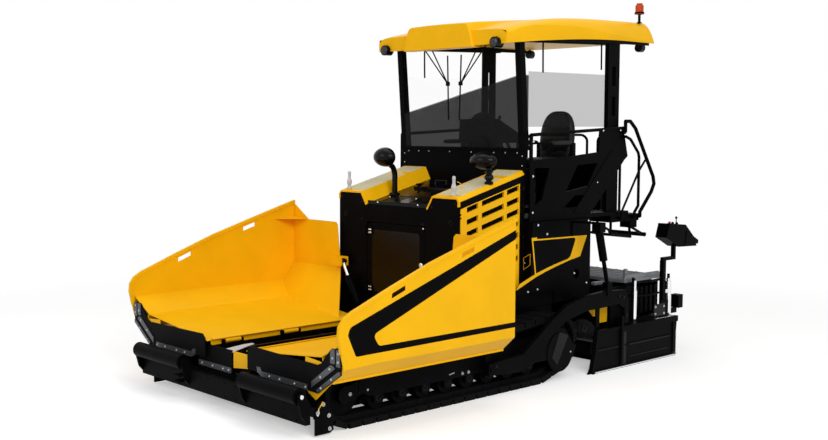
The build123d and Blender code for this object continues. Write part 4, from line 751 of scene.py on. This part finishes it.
# ---- Screed ---------------------------------------------------------------------------------------
# the end gates' raised bars: rear and front end, outer face, bottom and top
GATE_BARS = ((-2158, -1210, 1339, 404, 448), (-1205, -1122, 1333, 28, 447), (-2009, -1261, 1336, 228, 240),
             (-2014, -1266, 1333, 98, 108), (-2157, -2096, 1333, 28, 285), (-1058, -700, 1338, 232, 242),
             (-2150, -620, 1344, 14, 26))
for name, side in SIDES:
    plate = Piece()
    plate.prism(rounded([(-1975, 474), (-1755, 474), (-1755, 610), (-1975, 610)], 10), 1298, 1304,
                chamfer=1.0)
    plate.box(-1900, -1770, 1284, 1299, 470, 500)
    plate.done("post_plate_" + name, black_gloss, "extension_" + name, side)
    places = [(-1784, 1304, 580), (-1946, 1304, 576), (-1783, 1304, 502), (-1948, 1304, 496)]
    bolts("post_bolts_" + name, places, LEFT, 9, pale_paint, "extension_" + name, both=False, side=side)
    edge = Piece()
    edge.box(-2160, -1763, 1301, 1324, 448.5, 453)
    edge.box(-2110, -640, 1349, 1351, 4, 18, 0.8)
    edge.done("gate_edge_" + name, bright_steel, "extension_" + name, side)
    frame_bars = Piece()
    for x0, x1, proud, z0, z1 in GATE_BARS:
        frame_bars.box(x0, x1, 1324, proud, z0, z1, 2.0)
    frame_bars.done("gate_frame_" + name, black_gloss, "extension_" + name, side)
    outer = Piece()
    outer.lathe((-2185, 1200, 430), UP, [(24, 0), (34, 4), (34, 400), (26, 404), (26, 430)], 28)
    outer.box(-2185, -2040, 1214, 1226, 700, 740)
    outer.done("outer_spindle_" + name, chrome, "extension_" + name, side)
    desk = Piece()
    desk.box(-2110, -2080, 1236, 1274, 1486, 1497)
    desk.lathe((-2160, 1300, 1484), UP,
               [(9, 0), (9, 10), (6, 14), (5, 60), (13, 66), (14, 78), (6, 88)], 20)
    for y in (1210, 1262):
        desk.lathe((-2230, y, 1478), UP, [(16, 0), (16, 10), (12, 18), (11, 22)], 20)
    desk.done("desk_controls_" + name, black_plastic, "extension_" + name, side)
    button = Piece()
    button.lathe((-2096, 1255, 1496), UP, [(9, 0), (9, 6), (17, 8), (18, 13), (14, 18), (4, 20)])
    button.done("desk_button_" + name, red, "extension_" + name, side)
    display = Piece()
    display.solid([[(-2330, 1200, 1456), (-2330, 1310, 1456), (-2480, 1310, 1330), (-2480, 1200, 1330)],
                   [(-2328, 1200, 1459), (-2328, 1310, 1459), (-2478, 1310, 1333), (-2478, 1200, 1333)]])
    display.done("desk_display_" + name, screen, "extension_" + name, side)

sleeves = Piece()
sleeves.lathe((-1520, 1200, 452), UP, [(24, 0), (34, 4), (34, 330), (26, 334), (26, 440)], 28)
sleeves.both_sides()
sleeves.done("inner_spindles", chrome, "screed")

cover = Piece()
cover.box(-2082, -1588, -1132, 1132, 461, 839, 4.0)
for x in range(-2040, -1600, 88):
    cover.box(x, x + 46, 1131, 1146, 500, 800, 4.0)
cover.tube([(-2080, 1150, 850), (-1900, 1165, 846), (-1700, 1150, 855), (-1400, 1160, 846)], 16, 12)
cover.tube([(-2060, 1155, 700), (-1800, 1168, 690), (-1560, 1150, 706)], 13, 12)
cover.both_sides()
cover.done("screed_housing", black_plastic, "screed")
motor = Piece()
motor.lathe((-1340, 1132, 700), LEFT, [(70, 0), (70, 40), (56, 52), (20, 56)], 28)
motor.lathe((-1460, 1132, 600), LEFT, [(48, 0), (48, 34), (36, 42), (12, 44)])
motor.both_sides()
motor.done("screed_motors", dark_steel, "screed")

grating = Piece()
x = -1412.0
while x > -2112:
    grating.box(x - 8, x, -1132, 1132, 899.5, 905, 1.0)
    x -= 26.0
for step in range(-8, 9):
    grating.box(-2112, -1412, step * 138 - 5, step * 138 + 5, 899.5, 908, 1.0)
grating.done("walkway_grating", mesh_grey, "screed")

ends = Piece()
ends.prism([(-1404, 902), (-2116, 902), (-2058, 948), (-1422, 948)], 1150.5, 1154, chamfer=0.8)
ends.both_sides()
ends.done("walkway_ends", mesh_grey, "screed")

arm_bolts = [(-1130, 1338, 760), (-1060, 1338, 780), (-1190, 1338, 560), (900, 1338, 300)]
bolts("arm_bolts", arm_bolts, LEFT, 12, black_gloss, "screed")


# ---- Seats ----------------------------------------------------------------------------------------
SEAT_X = -730.0


PAD_CELLS = (28, 34)           # across and along a pad
PAD_RIM = 0.30                 # a pad's height at its rim, as a share of its middle
PAD_CROWN = 0.70


def pad_point(u, v, face, size, channels, power, taper):
    """Across, along and up from a pad's centre, for u and v from -1 to 1 and the top or bottom face."""
    width, length, thick = size
    # the outline is a superellipse, so the corners are round
    scale = (abs(u) ** power + abs(v) ** power) ** (1 / power) if (u or v) else 1.0
    big = max(abs(u), abs(v))
    pull = big / scale if scale else 1.0
    a = u * pull * width / 2 * (1 - taper * (v * pull) ** 2)
    b = v * pull * length / 2
    edge = (1 - big ** 6) ** 0.5
    height = thick / 2 * (PAD_RIM + PAD_CROWN * edge) if big < 1 else thick / 2 * PAD_RIM
    puff = 0.0
    if face > 0:
        puff = 0.10 * thick * (1 - u * u) * (1 - v * v)
        for place in channels:
            puff -= 0.11 * thick * math.exp(-((v - place) / 0.035) ** 2) * (1 - abs(u) ** 4)
    return a, b, face * height + puff


def border(grid):
    """The grid's outer points in one loop."""
    right = [row[-1] for row in grid[:-1]]
    left = [row[0] for row in grid[:0:-1]]
    return grid[0][:-1] + right + grid[-1][:0:-1] + left


def soft_pad(name, centre, across, along, up, size, body, channels=(), power=5.0, taper=0.0):
    """A stuffed pad: a grid over a crowned block, with sewn channels pressed in across it."""
    nu, nv = PAD_CELLS
    bm = bmesh.new()
    layers = []
    for face in (1, -1):
        grid = []
        for j in range(nv + 1):
            row = []
            for i in range(nu + 1):
                a, b, c = pad_point(i / nu * 2 - 1, j / nv * 2 - 1, face, size, channels, power, taper)
                row.append(bm.verts.new(centre + across * a + along * b + up * c))
            grid.append(row)
        layers.append(grid)
        for j in range(nv):
            for i in range(nu):
                quad = (grid[j][i], grid[j][i + 1], grid[j + 1][i + 1], grid[j + 1][i])
                bm.faces.new(quad if face > 0 else quad[::-1])
    ring_a, ring_b = [border(grid) for grid in layers]
    for i in range(len(ring_a)):
        k = (i + 1) % len(ring_a)
        bm.faces.new((ring_a[i], ring_b[i], ring_b[k], ring_a[k]))
    bmesh.ops.recalc_face_normals(bm, faces=bm.faces[:])
    bm.transform(TO_ROW)
    mesh = bpy.data.meshes.new(name)
    bm.to_mesh(mesh)
    bm.free()
    for face in mesh.polygons:
        face.use_smooth = True
    mesh.materials.append(seat_vinyl)
    obj = bpy.data.objects.new(name, mesh)
    bpy.context.scene.collection.objects.link(obj)
    smooth = obj.modifiers.new("round", "SUBSURF")
    smooth.levels = 1
    smooth.render_levels = 1
    depsgraph = bpy.context.evaluated_depsgraph_get()
    final = bpy.data.meshes.new_from_object(obj.evaluated_get(depsgraph))
    obj.modifiers.clear()
    obj.data = final
    for face in final.polygons:
        face.use_smooth = True
    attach(obj, body)
    return obj


for name, y in (("left", 560.0), ("right", -560.0)):
    body = "seat_" + name
    base = Piece()
    base.lathe((SEAT_X, y, 2060.4), UP, [(118, 0), (120, 3), (120, 26), (114, 30)], 40)
    base.prism(rounded([(-930, y - 214), (-520, y - 214), (-520, y + 214), (-930, y + 214)], 30),
               2086, 2119, "z", 3.0)
    for way in (-1, 1):
        outer_y = y + way * 232
        base.prism(rounded([(-958, 2112), (-902, 2112), (-902, 2408), (-958, 2408)], 14),
                   outer_y - 19, outer_y + 19, "y", 4.0)
        base.box(-958, -902, min(y + way * 196, outer_y), max(y + way * 196, outer_y), 2112, 2140, 3.0)
    base.lathe((-560, y + 214, 2240), UP, [(4, 0), (4, 2)], 8)
    base.done("seat_base_" + name, black_plastic, body)
    soft_pad("seat_cushion_" + name, Vector((-716, y, 2182)), Vector(LEFT), Vector(FORWARD),
             Vector(UP), (404, 472, 118), body, (-0.42, 0.0, 0.42))
    lean = Vector((-80, 0, 639)).normalized()
    face = Vector((639, 0, 80)).normalized()
    back = soft_pad("seat_back_" + name, Vector((-951, y, 2440)), Vector(LEFT), lean, face,
                    (450, 628, 106), body, (-0.45, 0.1), 3.2, 0.16)
    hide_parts("seat_" + name)
    for end, way in (("inner", -1), ("outer", 1)):
        soft_pad("arm_rest_%s_%s" % (name, end), Vector((-730, y + way * 232, 2406)), Vector(LEFT),
                 Vector(FORWARD), Vector(UP), (50, 336, 46), body)

# rails behind the seats
hoops = Piece()
for inner, outer, foot in ((150, 445, 2180), (593, 900, 1640)):
    hoops.tube([(-1640, inner, 2180), (-1640, inner, 2440), (-1640, inner + 60, 2485),
                (-1640, outer - 60, 2485), (-1640, outer, 2440), (-1640, outer, foot)], 15, 12)
hoops.both_sides()
hoops.done("seat_hoops", black)

# ---- Console and platform --------------------------------------------------------------------------
console = Piece()
console.solid([[(-330, -60, 2664), (-330, 90, 2664), (-560, 90, 2562), (-560, -60, 2562)],
               [(-328, -60, 2668), (-328, 90, 2668), (-558, 90, 2566), (-558, -60, 2566)]])
console.done("console_display", screen)
knobs = Piece()
for y, x in ((-180, -400), (-180, -460), (-180, -520), (170, -400), (170, -460), (170, -520)):
    z = 2665 - (-320 - x) * 0.4583
    knobs.lathe((x, y, z - 2), (-0.417, 0, 0.909), [(14, 0), (14, 8), (10, 14), (9, 16)], 18)
for y in (120, -120):
    knobs.lathe((-480, y, 2590), (-0.2, 0, 1), [(9, 0), (7, 10), (6, 70), (15, 78), (17, 100), (10, 114)], 20)
knobs.done("console_knobs", black_gloss)

tread = Piece()
for y in range(-900, 901, 60):
    tread.box(-1720, -60, y - 3, y + 3, 1639.5, 1643, 0.8)
tread.done("floor_tread", mesh_grey)
steps = Piece()
for x in range(-1900, -1420, 40):
    steps.box(x, x + 12, 440, 940, 1599, 1604, 0.8)
steps.both_sides()
steps.done("step_tread", mesh_grey)

tails = Piece()
for y in (835, 895):
    tails.lathe((-1925, y, 1485), REARWARD, [(24, -0.5), (24, 5), (18, 9), (4, 11)], 28)
tails.both_sides()
tails.done("tail_lamps", red)


# ---- Camera, floor and light --------------------------------------------------------------------------
def add_camera():
    data = bpy.data.cameras.new("camera")
    data.lens = 48.20
    data.sensor_width = 36.0
    data.shift_x = 0.0894
    data.shift_y = -0.0121
    data.clip_end = 200.0
    cam = bpy.data.objects.new("camera", data)
    cam.location = (8.8159 + SHIFT, 8.3046, 2.5957)
    cam.rotation_euler = (math.radians(85.632), 0.0, math.radians(139.476))
    bpy.context.scene.collection.objects.link(cam)
    bpy.context.scene.camera = cam


FLOOR_GLOW = 0.38              # added near the machine, so that the unshaded floor is just white
FLOOR_CLEAR = (5.0, 9.0)       # from here outwards the floor fades to plain white, in metres


def shown_rays(tree):
    """One for camera, glossy and transmission rays: all of them see the plain white surroundings."""
    rays = tree.nodes.new("ShaderNodeLightPath")
    shown = rays.outputs["Is Camera Ray"]
    for kind in ("Is Glossy Ray", "Is Transmission Ray"):
        either = tree.nodes.new("ShaderNodeMath")
        either.operation = "MAXIMUM"
        tree.links.new(shown, either.inputs[0])
        tree.links.new(rays.outputs[kind], either.inputs[1])
        shown = either.outputs["Value"]
    return shown


def add_floor():
    mesh = bpy.data.meshes.new("floor")
    bm = bmesh.new()
    bmesh.ops.create_grid(bm, x_segments=1, y_segments=1, size=60.0)
    bm.to_mesh(mesh)
    bm.free()
    obj = bpy.data.objects.new("floor", mesh)
    bpy.context.scene.collection.objects.link(obj)
    mat = bpy.data.materials.new("floor")
    mat.use_nodes = True
    tree = mat.node_tree
    shader = tree.nodes["Principled BSDF"]
    shader.inputs["Base Color"].default_value = (0.86, 0.86, 0.86, 1)
    shader.inputs["Roughness"].default_value = 0.9
    shader.inputs["Specular IOR Level"].default_value = 0.0
    near = tree.nodes.new("ShaderNodeEmission")
    near.inputs["Color"].default_value = (1, 1, 1, 1)
    near.inputs["Strength"].default_value = FLOOR_GLOW
    lit = tree.nodes.new("ShaderNodeAddShader")
    far = tree.nodes.new("ShaderNodeEmission")
    far.inputs["Color"].default_value = (1, 1, 1, 1)
    far.inputs["Strength"].default_value = 1.0
    coords = tree.nodes.new("ShaderNodeTexCoord")
    reach = tree.nodes.new("ShaderNodeVectorMath")
    reach.operation = "LENGTH"
    fade = tree.nodes.new("ShaderNodeMapRange")
    fade.interpolation_type = "SMOOTHSTEP"
    fade.inputs["From Min"].default_value = FLOOR_CLEAR[0]
    fade.inputs["From Max"].default_value = FLOOR_CLEAR[1]
    spread = tree.nodes.new("ShaderNodeMixShader")
    seen = tree.nodes.new("ShaderNodeMixShader")
    tree.links.new(shader.outputs["BSDF"], lit.inputs[0])
    tree.links.new(near.outputs["Emission"], lit.inputs[1])
    tree.links.new(coords.outputs["Object"], reach.inputs[0])
    tree.links.new(reach.outputs["Value"], fade.inputs["Value"])
    tree.links.new(fade.outputs["Result"], spread.inputs["Fac"])
    tree.links.new(lit.outputs["Shader"], spread.inputs[1])
    tree.links.new(far.outputs["Emission"], spread.inputs[2])
    tree.links.new(shown_rays(tree), seen.inputs["Fac"])
    tree.links.new(shader.outputs["BSDF"], seen.inputs[1])
    tree.links.new(spread.outputs["Shader"], seen.inputs[2])
    tree.links.new(seen.outputs["Shader"], tree.nodes["Material Output"].inputs["Surface"])
    mesh.materials.append(mat)


WORLD_LEVEL = 0.44


def add_world():
    world = bpy.data.worlds.new("studio")
    bpy.context.scene.world = world
    world.use_nodes = True
    tree = world.node_tree
    back = tree.nodes["Background"]
    back.inputs["Color"].default_value = (1, 1, 1, 1)
    back.inputs["Strength"].default_value = WORLD_LEVEL
    seen = tree.nodes.new("ShaderNodeBackground")
    seen.inputs["Color"].default_value = (1, 1, 1, 1)
    seen.inputs["Strength"].default_value = 1.0
    mix = tree.nodes.new("ShaderNodeMixShader")
    tree.links.new(shown_rays(tree), mix.inputs["Fac"])
    tree.links.new(back.outputs["Background"], mix.inputs[1])
    tree.links.new(seen.outputs["Background"], mix.inputs[2])
    tree.links.new(mix.outputs["Shader"], tree.nodes["World Output"].inputs["Surface"])


def add_light(name, place, target, size, power):
    data = bpy.data.lights.new(name, "AREA")
    data.shape = "RECTANGLE"
    data.size = size[0]
    data.size_y = size[1]
    data.energy = power
    obj = bpy.data.objects.new(name, data)
    obj.location = place
    obj.rotation_euler = (Vector(target) - Vector(place)).to_track_quat("-Z", "Y").to_euler()
    bpy.context.scene.collection.objects.link(obj)


add_camera()
add_floor()
add_world()
add_light("key", (4.0, 10.0, 7.5), (0.0, 0.0, 1.8), (7.0, 5.0), 640.0)
add_light("front", (10.0, -2.0, 6.0), (0.5, 0.0, 1.2), (5.0, 4.0), 200.0)
add_light("top", (-1.0, 0.0, 11.0), (0.0, 0.0, 0.0), (9.0, 6.0), 260.0)

bpy.context.scene.view_settings.view_transform = "Standard"
